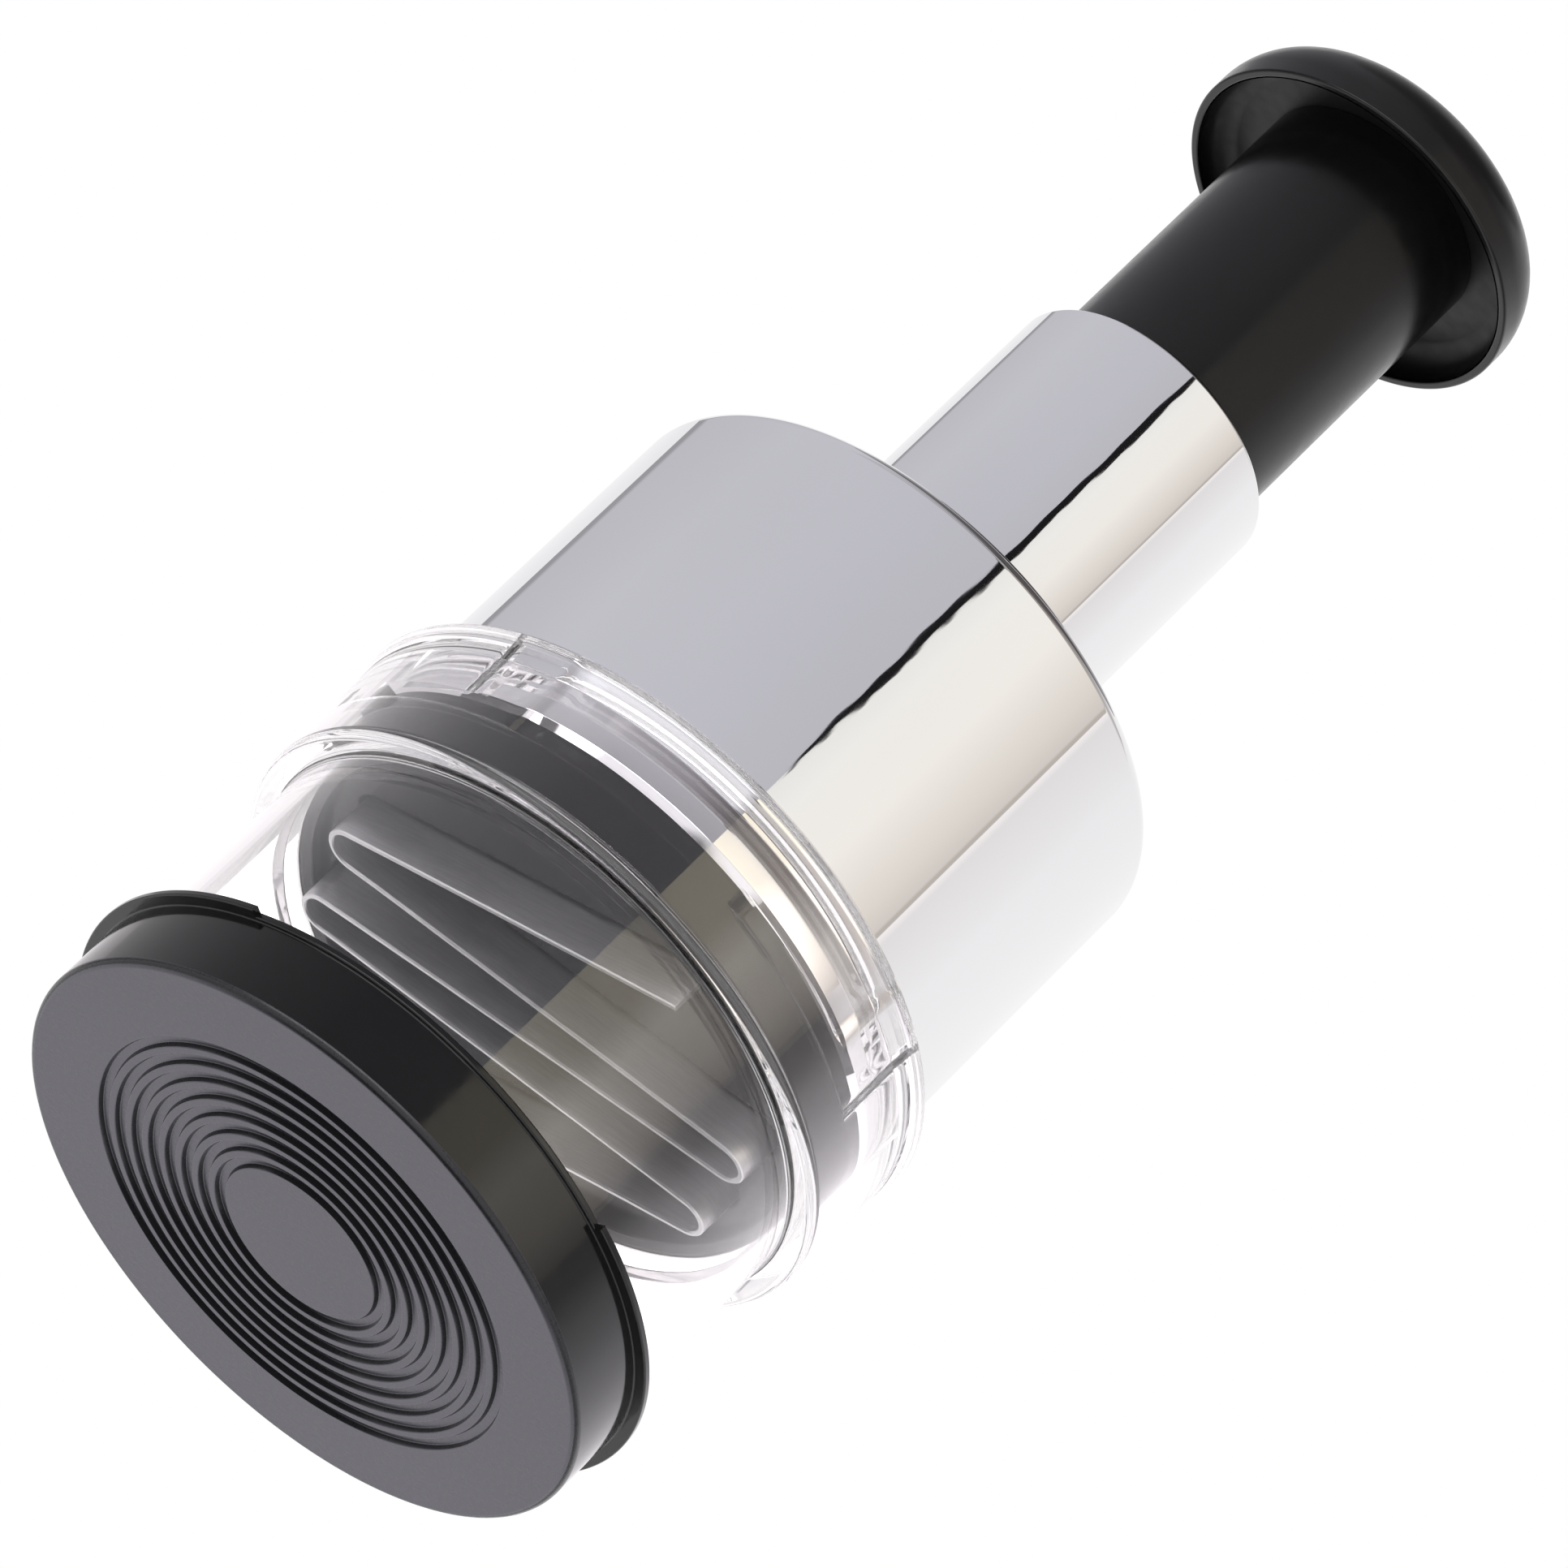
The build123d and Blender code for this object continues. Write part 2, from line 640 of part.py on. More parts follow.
# Blade holder: disc with the blade moulded into its underside, and a boss pinned to the shaft
with BuildPart() as blade_holder:
    ring_band(0, holder_radius, holder_bottom, holder_top)
    ring_band(0, boss_radius, holder_top, boss_top)
    with Locations((0, 0, boss_top)):
        Hole(shaft_radius + fixed_gap, depth=boss_top - shaft_bottom)
    with BuildSketch(Plane.XY.offset(holder_bottom)):
        trace(blade_route(fixed_gap), line_width=blade_thickness + 2 * fixed_gap)
    extrude(amount=blade_seat, mode=Mode.SUBTRACT)
    with BuildSketch(Plane.YZ.offset(-boss_radius)):
        with Locations((0, holder_top + boss_height / 2)):
            Circle(holder_pin_radius + fixed_gap)
    extrude(amount=2 * boss_radius, mode=Mode.SUBTRACT)
blade_holder.part.label = "blade_holder"
export_step(blade_holder.part, "parts/blade_holder.step")

# Holder pin: straight pin through the boss and the shaft
with BuildPart() as holder_pin:
    with BuildSketch(Plane.YZ.offset(-boss_radius + seat_gap)):
        with Locations((0, holder_top + boss_height / 2)):
            Circle(holder_pin_radius)
    extrude(amount=2 * (boss_radius - seat_gap))
holder_pin.part.label = "holder_pin"
export_step(holder_pin.part, "parts/holder_pin.step")

# Wiper plate: disc on the ring's ledge, with a slot that the blade slides through
with BuildPart() as wiper_plate:
    ring_band(0, plate_radius, plate_bottom, plate_top)
    with BuildSketch(Plane.XY.offset(plate_bottom)):
        trace(blade_route(slot_gap), line_width=blade_thickness + 2 * slot_gap)
    extrude(amount=plate_height, mode=Mode.SUBTRACT)
wiper_plate.part.label = "wiper_plate"
export_step(wiper_plate.part, "parts/wiper_plate.step")

# Plate retainer: ring pressed into the bayonet ring above the plate
with BuildPart() as plate_retainer:
    ring_band(ledge_bore, ring_bore - fixed_gap, retainer_bottom, retainer_bottom + retainer_height)
plate_retainer.part.label = "plate_retainer"
export_step(plate_retainer.part, "parts/plate_retainer.step")
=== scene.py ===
import bpy
import numpy as np
from mathutils import Matrix


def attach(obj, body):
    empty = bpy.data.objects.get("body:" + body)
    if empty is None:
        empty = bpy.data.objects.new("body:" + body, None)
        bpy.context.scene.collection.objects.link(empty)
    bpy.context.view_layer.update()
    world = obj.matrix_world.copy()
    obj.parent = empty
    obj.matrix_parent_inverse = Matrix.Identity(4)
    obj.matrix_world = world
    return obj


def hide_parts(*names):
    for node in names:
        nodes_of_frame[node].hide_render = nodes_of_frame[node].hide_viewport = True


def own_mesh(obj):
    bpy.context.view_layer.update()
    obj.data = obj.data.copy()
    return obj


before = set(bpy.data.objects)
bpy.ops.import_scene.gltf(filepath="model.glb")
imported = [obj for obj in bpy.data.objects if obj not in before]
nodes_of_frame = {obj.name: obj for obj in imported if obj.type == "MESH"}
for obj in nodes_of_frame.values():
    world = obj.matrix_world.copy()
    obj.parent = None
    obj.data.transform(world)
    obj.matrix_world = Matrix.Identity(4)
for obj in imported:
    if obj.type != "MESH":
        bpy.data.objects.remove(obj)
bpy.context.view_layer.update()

# Base cap
# One black moulding, a shallow dish that grips the lower end of the cup. Its standing face is
# satin with round grooves, and two long tabs on its rim give the fingers a hold.

# Outlines are written in millimetres, and meshes are in metres.
mm = 0.001


def rounded_outline(corners, arc_steps=6, on_axis=False):
    """Outline in (radius, height), with the material on its left and every corner rounded.
    A corner is (radius, height, fillet) in mm. Its arc touches both sides at fillet / tan(half the
    angle between them), and its outward normals turn evenly from one side's normal to the other's.
    An outline on the axis starts and ends there, and is otherwise closed. Returns points in metres
    and normals."""
    corners = np.array([tuple(c) + (0.0,) * (3 - len(c)) for c in corners]) * mm
    place = corners[:, :2]
    fillet = corners[:, 2:]
    before = np.roll(place, 1, 0) - place
    after = np.roll(place, -1, 0) - place
    before /= np.linalg.norm(before, axis=1, keepdims=True)
    after /= np.linalg.norm(after, axis=1, keepdims=True)
    bisector = before + after
    bisector /= np.linalg.norm(bisector, axis=1, keepdims=True)
    half = np.arccos(np.clip((before * after).sum(1), -1, 1)) / 2
    centre = place + bisector * fillet / np.sin(half)[:, None]
    turn = np.sign(before[:, 1] * after[:, 0] - before[:, 0] * after[:, 1])
    angle = (turn * (np.pi - 2 * half))[:, None] * np.linspace(0, 1, arc_steps + 1)
    side = np.stack([-before[:, 1], before[:, 0]], 1)[:, None]
    normals = np.stack([
        side[..., 0] * np.cos(angle) - side[..., 1] * np.sin(angle),
        side[..., 0] * np.sin(angle) + side[..., 1] * np.cos(angle),
    ], -1)
    points = centre[:, None] + (turn[:, None] * fillet)[:, None] * normals
    if not on_axis:
        return points.reshape(-1, 2), normals.reshape(-1, 2)
    middle = slice(1, -1)
    points = np.concatenate([place[:1], points[middle].reshape(-1, 2), place[-1:]])
    ends = [normals[1, :1], normals[middle].reshape(-1, 2), normals[-2, -1:]]
    return points, np.concatenate(ends)


def turned(outline, start=0, end=360, columns=288, on_axis=False):
    """Surface of an outline turned about Z: (r cos a, r sin a, z), with the angle a from start to end."""
    points, normals = outline
    angle = np.radians(np.linspace(start, end, columns + 1))
    around = np.stack([np.cos(angle), np.sin(angle), 0 * angle], 1)[None]
    upward = np.array([0.0, 0.0, 1.0])
    places = points[:, :1, None] * around + points[:, 1:, None] * upward
    facing = normals[:, :1, None] * around + normals[:, 1:, None] * upward
    index = np.arange(places.shape[0] * places.shape[1]).reshape(places.shape[:2])
    following = np.roll(index, -1, 0)
    if on_axis:
        index, following = index[:-1], following[:-1]
    quads = np.stack([index[:, :-1], index[:, 1:], following[:, 1:], following[:, :-1]], -1)
    return places.reshape(-1, 3), facing.reshape(-1, 3), quads.reshape(-1, 4)


def end_face(first_run, second_run, angle, towards):
    """Flat face in the radial plane at an angle a, ruled between two runs of an outline's points:
    (r cos a, r sin a, z). It faces on (+1) or back (-1) around Z, and shares its points with the
    turned surfaces beside it."""
    run = np.concatenate([first_run, second_run])
    cos, sin = np.cos(np.radians(angle)), np.sin(np.radians(angle))
    places = np.stack([run[:, 0] * cos, run[:, 0] * sin, run[:, 1]], 1)
    facing = np.array([-sin, cos, 0.0]) * towards
    index = np.arange(len(first_run) - 1)
    quads = np.stack([index, index + 1, index + 1 + len(first_run), index + len(first_run)], 1)
    corner = places[quads]
    if np.cross(corner[:, 1] - corner[:, 0], corner[:, 3] - corner[:, 0]).sum(0) @ facing < 0:
        quads = quads[:, ::-1]
    return places, np.tile(facing, (len(run), 1)), quads


def piece_from(name, surfaces, finishes, choose=None):
    """Mesh object from surfaces of (places, normals, quads). Corners in the same cell of a fine grid
    are welded, quads that shrink at a pole become triangles, and each face corner keeps its worked-out
    normal. choose gives a finish number for each face from its middle and normal."""
    weld_cell = 2e-7
    starts = np.cumsum([0] + [len(s[0]) for s in surfaces[:-1]])
    places = np.concatenate([s[0] for s in surfaces])
    normals = np.concatenate([s[1] for s in surfaces])
    quads = np.concatenate([s[2] + start for s, start in zip(surfaces, starts)])
    cells = np.round(places / weld_cell).astype(np.int64)
    welded, number = np.unique(cells, axis=0, return_inverse=True)
    corner = number.reshape(-1)[quads]
    same = corner == np.roll(corner, -1, 1)
    whole = ~same.any(1)
    thin = same.sum(1) == 1
    faces = corner[whole].tolist() + corner[thin][~same[thin]].reshape(-1, 3).tolist()
    kept = np.concatenate([quads[whole].reshape(-1), quads[thin][~same[thin]]])
    mesh = bpy.data.meshes.new(name)
    mesh.from_pydata((welded * weld_cell).tolist(), [], faces)
    mesh.polygons.foreach_set("use_smooth", np.ones(len(faces), bool))
    mesh.normals_split_custom_set(normals[kept].tolist())
    for finish in finishes:
        mesh.materials.append(finish)
    if choose:
        middles = np.zeros(len(faces) * 3)
        facings = np.zeros(len(faces) * 3)
        mesh.polygons.foreach_get("center", middles)
        mesh.polygons.foreach_get("normal", facings)
        picks = choose(middles.reshape(-1, 3), facings.reshape(-1, 3))
        mesh.polygons.foreach_set("material_index", picks.astype(np.int32))
    piece = bpy.data.objects.new(name, mesh)
    bpy.context.scene.collection.objects.link(piece)
    return piece


def new_finish(name):
    """A node material with one Principled shader. Returns the material, its nodes, links and shader."""
    finish = bpy.data.materials.new(name)
    finish.use_nodes = True
    tree = finish.node_tree
    return finish, tree.nodes, tree.links, tree.nodes["Principled BSDF"]


def grain(nodes, links, scale, detail, stretch=(1, 1, 1)):
    """Noise on the piece's own coordinates, stretched along its axes. Returns its 0 to 1 output."""
    where = nodes.new("ShaderNodeTexCoord")
    mapping = nodes.new("ShaderNodeMapping")
    mapping.inputs["Scale"].default_value = stretch
    noise = nodes.new("ShaderNodeTexNoise")
    noise.inputs["Scale"].default_value = scale
    noise.inputs["Detail"].default_value = detail
    links.new(where.outputs["Object"], mapping.inputs["Vector"])
    links.new(mapping.outputs["Vector"], noise.inputs["Vector"])
    return noise.outputs["Fac"]


def spread(nodes, links, noise, low, high, target):
    """Carry a noise to a socket as a value from low to high, over the middle where most of it lies."""
    ranged = nodes.new("ShaderNodeMapRange")
    ranged.inputs["From Min"].default_value = 0.3
    ranged.inputs["From Max"].default_value = 0.7
    ranged.inputs["To Min"].default_value = low
    ranged.inputs["To Max"].default_value = high
    links.new(noise, ranged.inputs["Value"])
    links.new(ranged.outputs["Result"], target)


def tint(nodes, links, noise, dark, light, target):
    """Carry a noise to a colour socket as a blend of two colours, over the middle where most of it lies."""
    ramp = nodes.new("ShaderNodeValToRGB")
    ramp.color_ramp.elements[0].position = 0.35
    ramp.color_ramp.elements[1].position = 0.65
    ramp.color_ramp.elements[0].color = (*dark, 1)
    ramp.color_ramp.elements[1].color = (*light, 1)
    links.new(noise, ramp.inputs["Fac"])
    links.new(ramp.outputs["Color"], target)


def relief(nodes, links, noise, depth, shader):
    """Raise the surface by a noise, with its full depth in metres."""
    bump = nodes.new("ShaderNodeBump")
    bump.inputs["Strength"].default_value = 1.0
    bump.inputs["Distance"].default_value = depth
    links.new(noise, bump.inputs["Height"])
    links.new(bump.outputs["Normal"], shader.inputs["Normal"])


def moulded_plastic(name, index, clouds, dark, light, wear, smooth, rough, depth, worn_relief=False):
    """Plastic with a refractive index. Slow clouds carry its colour from dark to light, and a finer
    wear carries its roughness from smooth to rough. Both are noises of (scale, detail), and the wear
    or else the clouds raise the surface by a depth in metres."""
    finish, nodes, links, shader = new_finish(name)
    shader.inputs["IOR"].default_value = index
    cloud_noise = grain(nodes, links, *clouds)
    wear_noise = grain(nodes, links, *wear)
    tint(nodes, links, cloud_noise, dark, light, shader.inputs["Base Color"])
    spread(nodes, links, wear_noise, smooth, rough, shader.inputs["Roughness"])
    relief(nodes, links, wear_noise if worn_relief else cloud_noise, depth, shader)
    return finish


black_gloss = moulded_plastic(
    "black_gloss_plastic", index=1.46,
    clouds=(55.0, 3.0), dark=(0.0034, 0.0034, 0.0038), light=(0.0048, 0.0046, 0.0048),
    wear=(420.0, 4.0), smooth=0.07, rough=0.14, depth=0.00003,
)
black_satin = moulded_plastic(
    "black_satin_plastic", index=1.46,
    clouds=(70.0, 2.0), dark=(0.021, 0.020, 0.024), light=(0.025, 0.024, 0.028),
    wear=(1500.0, 2.0), smooth=0.26, rough=0.32, depth=0.000003, worn_relief=True,
)

cap_radius, cap_height, cap_floor, cap_bore = 43.3, 12.0, 2.6, 41.48
bead_radius, tab_radius, rim_bottom = 43.9, 45.0, 11.0
tab_starts, tab_sweep = (-58, 122), 102
tab_columns, bead_columns = 96, 72
groove_radii = np.linspace(12.6, 31.2, 8)
groove_half, groove_depth, groove_lean = 0.85, 0.7, 0.28
groove_edge, face_edge, rim_edge, rim_hollow, floor_hollow = 0.15, 1.0, 0.25, 0.2, 0.4
grooves = [
    spot
    for g in groove_radii
    for spot in (
        (g - groove_half, 0, groove_edge), (g - groove_half + groove_lean, groove_depth, groove_edge),
        (g + groove_half - groove_lean, groove_depth, groove_edge), (g + groove_half, 0, groove_edge),
    )
]


def cap_outline(rim_radius):
    """Half section of the cap, with its rim out to the bead's or the tab's radius."""
    return rounded_outline([
        (0, 0), *grooves, (cap_radius, 0, face_edge), (cap_radius, rim_bottom, rim_hollow),
        (rim_radius, rim_bottom, rim_edge), (rim_radius, cap_height, rim_edge),
        (cap_bore, cap_height, rim_edge), (cap_bore, cap_floor, floor_hollow), (0, cap_floor),
    ], on_axis=True)


bead_wall, tab_wall = cap_outline(bead_radius), cap_outline(tab_radius)
rim = np.flatnonzero(bead_wall[0][:, 0] > (cap_radius + bead_radius) / 2 * mm)
rim_first, rim_last = rim[0], rim[-1] + 1
bead_run, tab_run = bead_wall[0][rim_first:rim_last], tab_wall[0][rim_first:rim_last]
# The tab's wall also takes in the two end points of the bead's rim, where its end faces close.
tab_wall = tuple(
    np.concatenate([
        tab[:rim_first], bead[rim_first:rim_first + 1], tab[rim_first:rim_last],
        bead[rim_last - 1:rim_last], tab[rim_last:],
    ])
    for tab, bead in zip(tab_wall, bead_wall)
)
cap_surfaces = []
for tab_start in tab_starts:
    tab_end = tab_start + tab_sweep
    cap_surfaces.append(turned(tab_wall, tab_start, tab_end, tab_columns, on_axis=True))
    cap_surfaces.append(turned(bead_wall, tab_end, tab_start + 180, bead_columns, on_axis=True))
    cap_surfaces.append(end_face(tab_run, bead_run, tab_start, -1))
    cap_surfaces.append(end_face(tab_run, bead_run, tab_end, 1))
standing_face = 0.0009
base_cap = piece_from(
    "base_cap_moulding", cap_surfaces, [black_gloss, black_satin],
    lambda middle, facing: middle[:, 2] < standing_face,
)
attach(base_cap, "base")
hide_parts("base_cap")

# Clear cup
# One clear moulding: the chopping chamber below, and above it a wider collar whose inner wall has
# the slots that the ring's lugs turn into. The collar's mouth flares a little.

clear_plastic, nodes, links, shader = new_finish("clear_plastic")
shader.inputs["Base Color"].default_value = (0.988, 0.972, 0.976, 1)
shader.inputs["Transmission Weight"].default_value = 1.0
shader.inputs["IOR"].default_value = 1.57
flow = grain(nodes, links, scale=38.0, detail=1.5)
relief(nodes, links, flow, depth=0.00006, shader=shader)
handling = grain(nodes, links, scale=300.0, detail=4.0)
spread(nodes, links, handling, low=0.0, high=0.03, target=shader.inputs["Roughness"])

# Light runs a long way inside the clear wall, so it is followed for many bounces.
bpy.context.scene.cycles.max_bounces = 96
bpy.context.scene.cycles.glossy_bounces = 64
bpy.context.scene.cycles.transmission_bounces = 64

cup_bore, cup_radius, cup_bottom, cup_step = 39.2, 41.4, 2.7, 43.1
collar_bore, collar_radius, collar_floor, collar_top = 42.0, 45.0, 45.3, 64.9
flare_radius, flare_foot, flare_top = 45.88, 60.2, 63.5
slot_radius, slot_floor, slot_roof = 42.68, 51.6, 54.6
lug_angles = (-164, -74, 16, 106)
slot_sweep, unlock_sweep = 10, 30
slot_ramp, faint_step = 2.5, 0.02
slot_edge = faint_step / 4
mouth_edge, foot_edge, step_hollow, step_edge = 0.6, 0.3, 0.5, 1.2
flare_hollow, flare_edge, lip_edge = 1.0, 0.4, 1.0


def cup_outline(upper_bore, slot_bore):
    """Half section of the cup, with the collar's bore above the slots' roof and between roof and floor."""
    return rounded_outline([
        (cup_bore, cup_bottom, mouth_edge), (cup_radius, cup_bottom, foot_edge),
        (cup_radius, cup_step, step_hollow), (collar_radius, cup_step, step_edge),
        (collar_radius, flare_foot, flare_hollow), (flare_radius, flare_top, flare_edge),
        (flare_radius, collar_top, lip_edge), (upper_bore, collar_top, mouth_edge),
        (upper_bore, slot_roof, slot_edge), (slot_bore, slot_roof, slot_edge),
        (slot_bore, slot_floor, slot_edge), (collar_bore, slot_floor, slot_edge),
        (collar_bore, collar_floor, step_hollow), (cup_bore, collar_floor, mouth_edge),
    ])


def turned_between(outlines, shares, degrees):
    """Surface about Z whose outline is the sum of share times outline, with the shares changing with
    the angle. Where the outline moves by dr and dz for each radian, the normal (nr, nz) leans by
    -(nr dr + nz dz) / r."""
    points = np.tensordot(shares, np.array([o[0] for o in outlines]), (0, 0)).transpose(1, 0, 2)
    normals = np.tensordot(shares, np.array([o[1] for o in outlines]), (0, 0)).transpose(1, 0, 2)
    angle = np.radians(degrees)
    moved = np.gradient(points, angle, axis=1)
    lean = -(normals * moved).sum(-1) / points[..., 0]
    cos, sin = np.cos(angle), np.sin(angle)
    places = np.stack([points[..., 0] * cos, points[..., 0] * sin, points[..., 1]], -1)
    facing = np.stack([
        normals[..., 0] * cos - lean * sin, normals[..., 0] * sin + lean * cos, normals[..., 1],
    ], -1)
    facing /= np.linalg.norm(facing, axis=-1, keepdims=True)
    index = np.arange(angle.size * len(points)).reshape(len(points), angle.size)
    following = np.roll(index, -1, 0)
    quads = np.stack([index[:, :-1], index[:, 1:], following[:, 1:], following[:, :-1]], -1)
    return places.reshape(-1, 3), facing.reshape(-1, 3), quads.reshape(-1, 4)


plain_wall = cup_outline(collar_bore, collar_bore + faint_step)
entry_wall = cup_outline(slot_radius - faint_step, slot_radius)
pocket_wall = cup_outline(collar_bore, slot_radius)
pocket_start = -slot_sweep / 2
entry_start = pocket_start + unlock_sweep
entry_end = entry_start + slot_sweep
pocket_ramp, entry_ramp = pocket_start - slot_ramp, entry_start - slot_ramp
ramp_end = entry_end + slot_ramp
ramp_turns = np.linspace(0, slot_ramp, 7)
pocket_turns = np.linspace(pocket_start, entry_ramp, 28)
entry_turns = np.linspace(entry_start, entry_end, 10)
plain_turns = np.linspace(ramp_end, pocket_ramp + 90, 44)
one_quarter = np.unique(np.concatenate([
    pocket_ramp + ramp_turns, pocket_turns, entry_ramp + ramp_turns,
    entry_turns, entry_end + ramp_turns, plain_turns,
]).round(6))
plain_share = np.interp(one_quarter, (pocket_ramp, pocket_start, entry_end, ramp_end), (1, 0, 0, 1))
entry_share = np.interp(one_quarter, (entry_ramp, entry_start, entry_end, ramp_end), (0, 1, 1, 0))
quarter_shares = np.stack([plain_share, entry_share, 1 - (plain_share + entry_share)])
quarter_shares = quarter_shares ** 2 * (3 - 2 * quarter_shares)
cup_surfaces = [
    turned_between((plain_wall, entry_wall, pocket_wall), quarter_shares, one_quarter + lug_angle)
    for lug_angle in lug_angles
]
clear_cup = piece_from("clear_cup_moulding", cup_surfaces, [clear_plastic])
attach(clear_cup, "cup")
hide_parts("clear_cup")

# Bayonet ring and plate retainer
# Black moulded ring pressed on the liner's spigot below the shell. Its lugs hold the cup, and its
# inner ledge carries the wiper plate, which the retainer ring keeps down.

black_ring = moulded_plastic(
    "black_ring_plastic", index=1.5,
    clouds=(50.0, 3.0), dark=(0.0085, 0.008, 0.009), light=(0.0115, 0.011, 0.012),
    wear=(400.0, 4.0), smooth=0.08, rough=0.15, depth=0.00003,
)

ring_bore, ledge_bore, ring_radius = 38.8, 37.3, 41.5
ring_bottom, ring_top, ledge_top = 45.4, 54.6, 47.2
counterbore, spigot_floor = 39.92, 52.2
lug_radius, lug_bottom, lug_top, lug_sweep = 42.6, 51.9, 54.3, 8
lug_columns, ring_columns = 12, 66
ledge_edge, ledge_hollow, ring_foot_edge, ring_top_edge, spigot_edge = 0.3, 0.2, 0.5, 0.15, 0.1
lug_edge, lug_hollow = 0.06, 0.05
lug_ring = rounded_outline([
    (ledge_bore, ring_bottom, ledge_edge), (ring_radius, ring_bottom, ring_foot_edge),
    (ring_radius, lug_bottom, lug_hollow), (lug_radius, lug_bottom, lug_edge),
    (lug_radius, lug_top, lug_edge), (ring_radius, lug_top, lug_hollow),
    (ring_radius, ring_top, ring_top_edge), (counterbore, ring_top, spigot_edge),
    (counterbore, spigot_floor, spigot_edge), (ring_bore, spigot_floor, spigot_edge),
    (ring_bore, ledge_top, ledge_hollow), (ledge_bore, ledge_top, ledge_edge),
])
# A rounded corner has seven points. The plain ring keeps only the two end points of a lug's outline.
arc_points = 7
lug_foot, lug_half, lug_head = 2 * arc_points, 4 * arc_points, 6 * arc_points
plain_ring = tuple(np.concatenate([part[:lug_foot + 1], part[lug_head - 1:]]) for part in lug_ring)
lower_run, upper_run = lug_ring[0][lug_foot:lug_half], lug_ring[0][lug_half:lug_head][::-1]
ring_surfaces = []
for lug_angle in lug_angles:
    first, last = lug_angle - lug_sweep / 2, lug_angle + lug_sweep / 2
    ring_surfaces.append(turned(lug_ring, first, last, lug_columns))
    ring_surfaces.append(turned(plain_ring, last, first + 90, ring_columns))
    ring_surfaces.append(end_face(lower_run, upper_run, first, -1))
    ring_surfaces.append(end_face(lower_run, upper_run, last, 1))
bayonet_ring = piece_from("bayonet_ring_moulding", ring_surfaces, [black_ring])
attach(bayonet_ring, "housing")
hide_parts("bayonet_ring")


def dress(node, finish):
    """Give a CAD node this finish in place of its own."""
    node.data.materials.clear()
    node.data.materials.append(finish)


dress(nodes_of_frame["plate_retainer"], black_satin)

# Wiper plate
# Dark moulded disc that lies on the ring's ledge. The blade slides through its zigzag slot, and
# it turns with the blade, so it strips the food off both sides of the strip.

plate_black = moulded_plastic(
    "plate_black_plastic", index=1.33,
    clouds=(60.0, 2.0), dark=(0.005, 0.005, 0.006), light=(0.008, 0.008, 0.009),
    wear=(420.0, 3.0), smooth=0.16, rough=0.26, depth=0.00003,
)
dress(nodes_of_frame["wiper_plate"], plate_black)

# Zigzag blade, its holder and the shaft
# One stainless strip stood on edge and bent to and fro in hairpins, ground to an edge on both
# sides. It is moulded into a pale disc, which a cross pin fixes to the grooved steel shaft.


def streaked_metal(name, scale, detail, stretch, dark, light, smooth, rough, depth):
    """Metal whose colour, roughness and height follow one stretched noise: from dark to light, from
    smooth to rough, and up to a depth in metres."""
    finish, nodes, links, shader = new_finish(name)
    shader.inputs["Metallic"].default_value = 1.0
    streaks = grain(nodes, links, scale, detail, stretch)
    tint(nodes, links, streaks, dark, light, shader.inputs["Base Color"])
    spread(nodes, links, streaks, smooth, rough, shader.inputs["Roughness"])
    relief(nodes, links, streaks, depth, shader)
    return finish


stainless = streaked_metal(
    "stainless_strip", scale=260.0, detail=5.0, stretch=(1, 1, 14),
    dark=(0.84, 0.84, 0.85), light=(0.92, 0.92, 0.925), smooth=0.38, rough=0.46, depth=0.000004,
)

blade_reach, hairpin_radius = 36.0, 3.0
hairpins = np.array([(-0.842, -0.053), (0.778, -0.417)]) * blade_reach
blade_tip = np.array((0.306, -0.942)) * blade_reach
blade_bottom, blade_top, blade_half, edge_half, bevel = 40.8, 90.8, 0.4, 0.24, 0.2
strip_edge, bevel_edge = 0.05, 0.06


def touch_normal(start, end, reach, side):
    """Unit normal at a hairpin of the straight run towards a point or a further hairpin: the run's
    direction turned by the angle whose cosine is reach over the distance."""
    along = end - start
    distance = np.linalg.norm(along)
    along = along / distance
    lean = reach / distance
    return along * lean + np.array((-along[1], along[0])) * side * np.sqrt(1 - lean * lean)


def hairpin_arc(centre, first, last, far, steps=20):
    """Points and left-hand normals on a hairpin, centre + radius (cos a, sin a), from one touching
    point round the far side to the other."""
    begin = np.arctan2(first[1], first[0])
    sweep = (np.arctan2(last[1], last[0]) - begin) % (2 * np.pi)
    over = (np.arctan2(far[1], far[0]) - begin) % (2 * np.pi)
    left = over < sweep
    angle = begin + (sweep if left else sweep - 2 * np.pi) * np.linspace(0, 1, steps + 1)
    outward = np.stack([np.cos(angle), np.sin(angle)], 1)
    return centre + outward * hairpin_radius, -outward if left else outward


def carried(path, across, upward, outline):
    """Surface of an outline carried along a path: path + across * u + upward * v for each outline point
    (u, v). Its two ends are closed by fans about the outline's middle."""
    points, normals = outline
    u, v = points[:, :1, None], points[:, 1:, None]
    places = path[None] + across[None] * u + upward[None] * v
    facing = across[None] * normals[:, :1, None] + upward[None] * normals[:, 1:, None]
    count, length = places.shape[:2]
    index = np.arange(count * length).reshape(count, length)
    following = np.roll(index, -1, 0)
    quads = np.stack([index[:, :-1], following[:, :-1], following[:, 1:], index[:, 1:]], -1)
    surfaces = [(places.reshape(-1, 3), facing.reshape(-1, 3), quads.reshape(-1, 4))]
    for end, inside in ((0, 1), (-1, -2)):
        rim = places[:, end]
        away = path[end] - path[inside]
        ring = np.arange(count)
        corners = [np.full(count, count), ring, np.roll(ring, -1), np.full(count, count)]
        fan = np.stack(corners if end else corners[::-1], 1)
        flat = np.tile(away / np.linalg.norm(away), (count + 1, 1))
        surfaces.append((np.concatenate([rim, rim.mean(0)[None]]), flat, fan))
    return surfaces


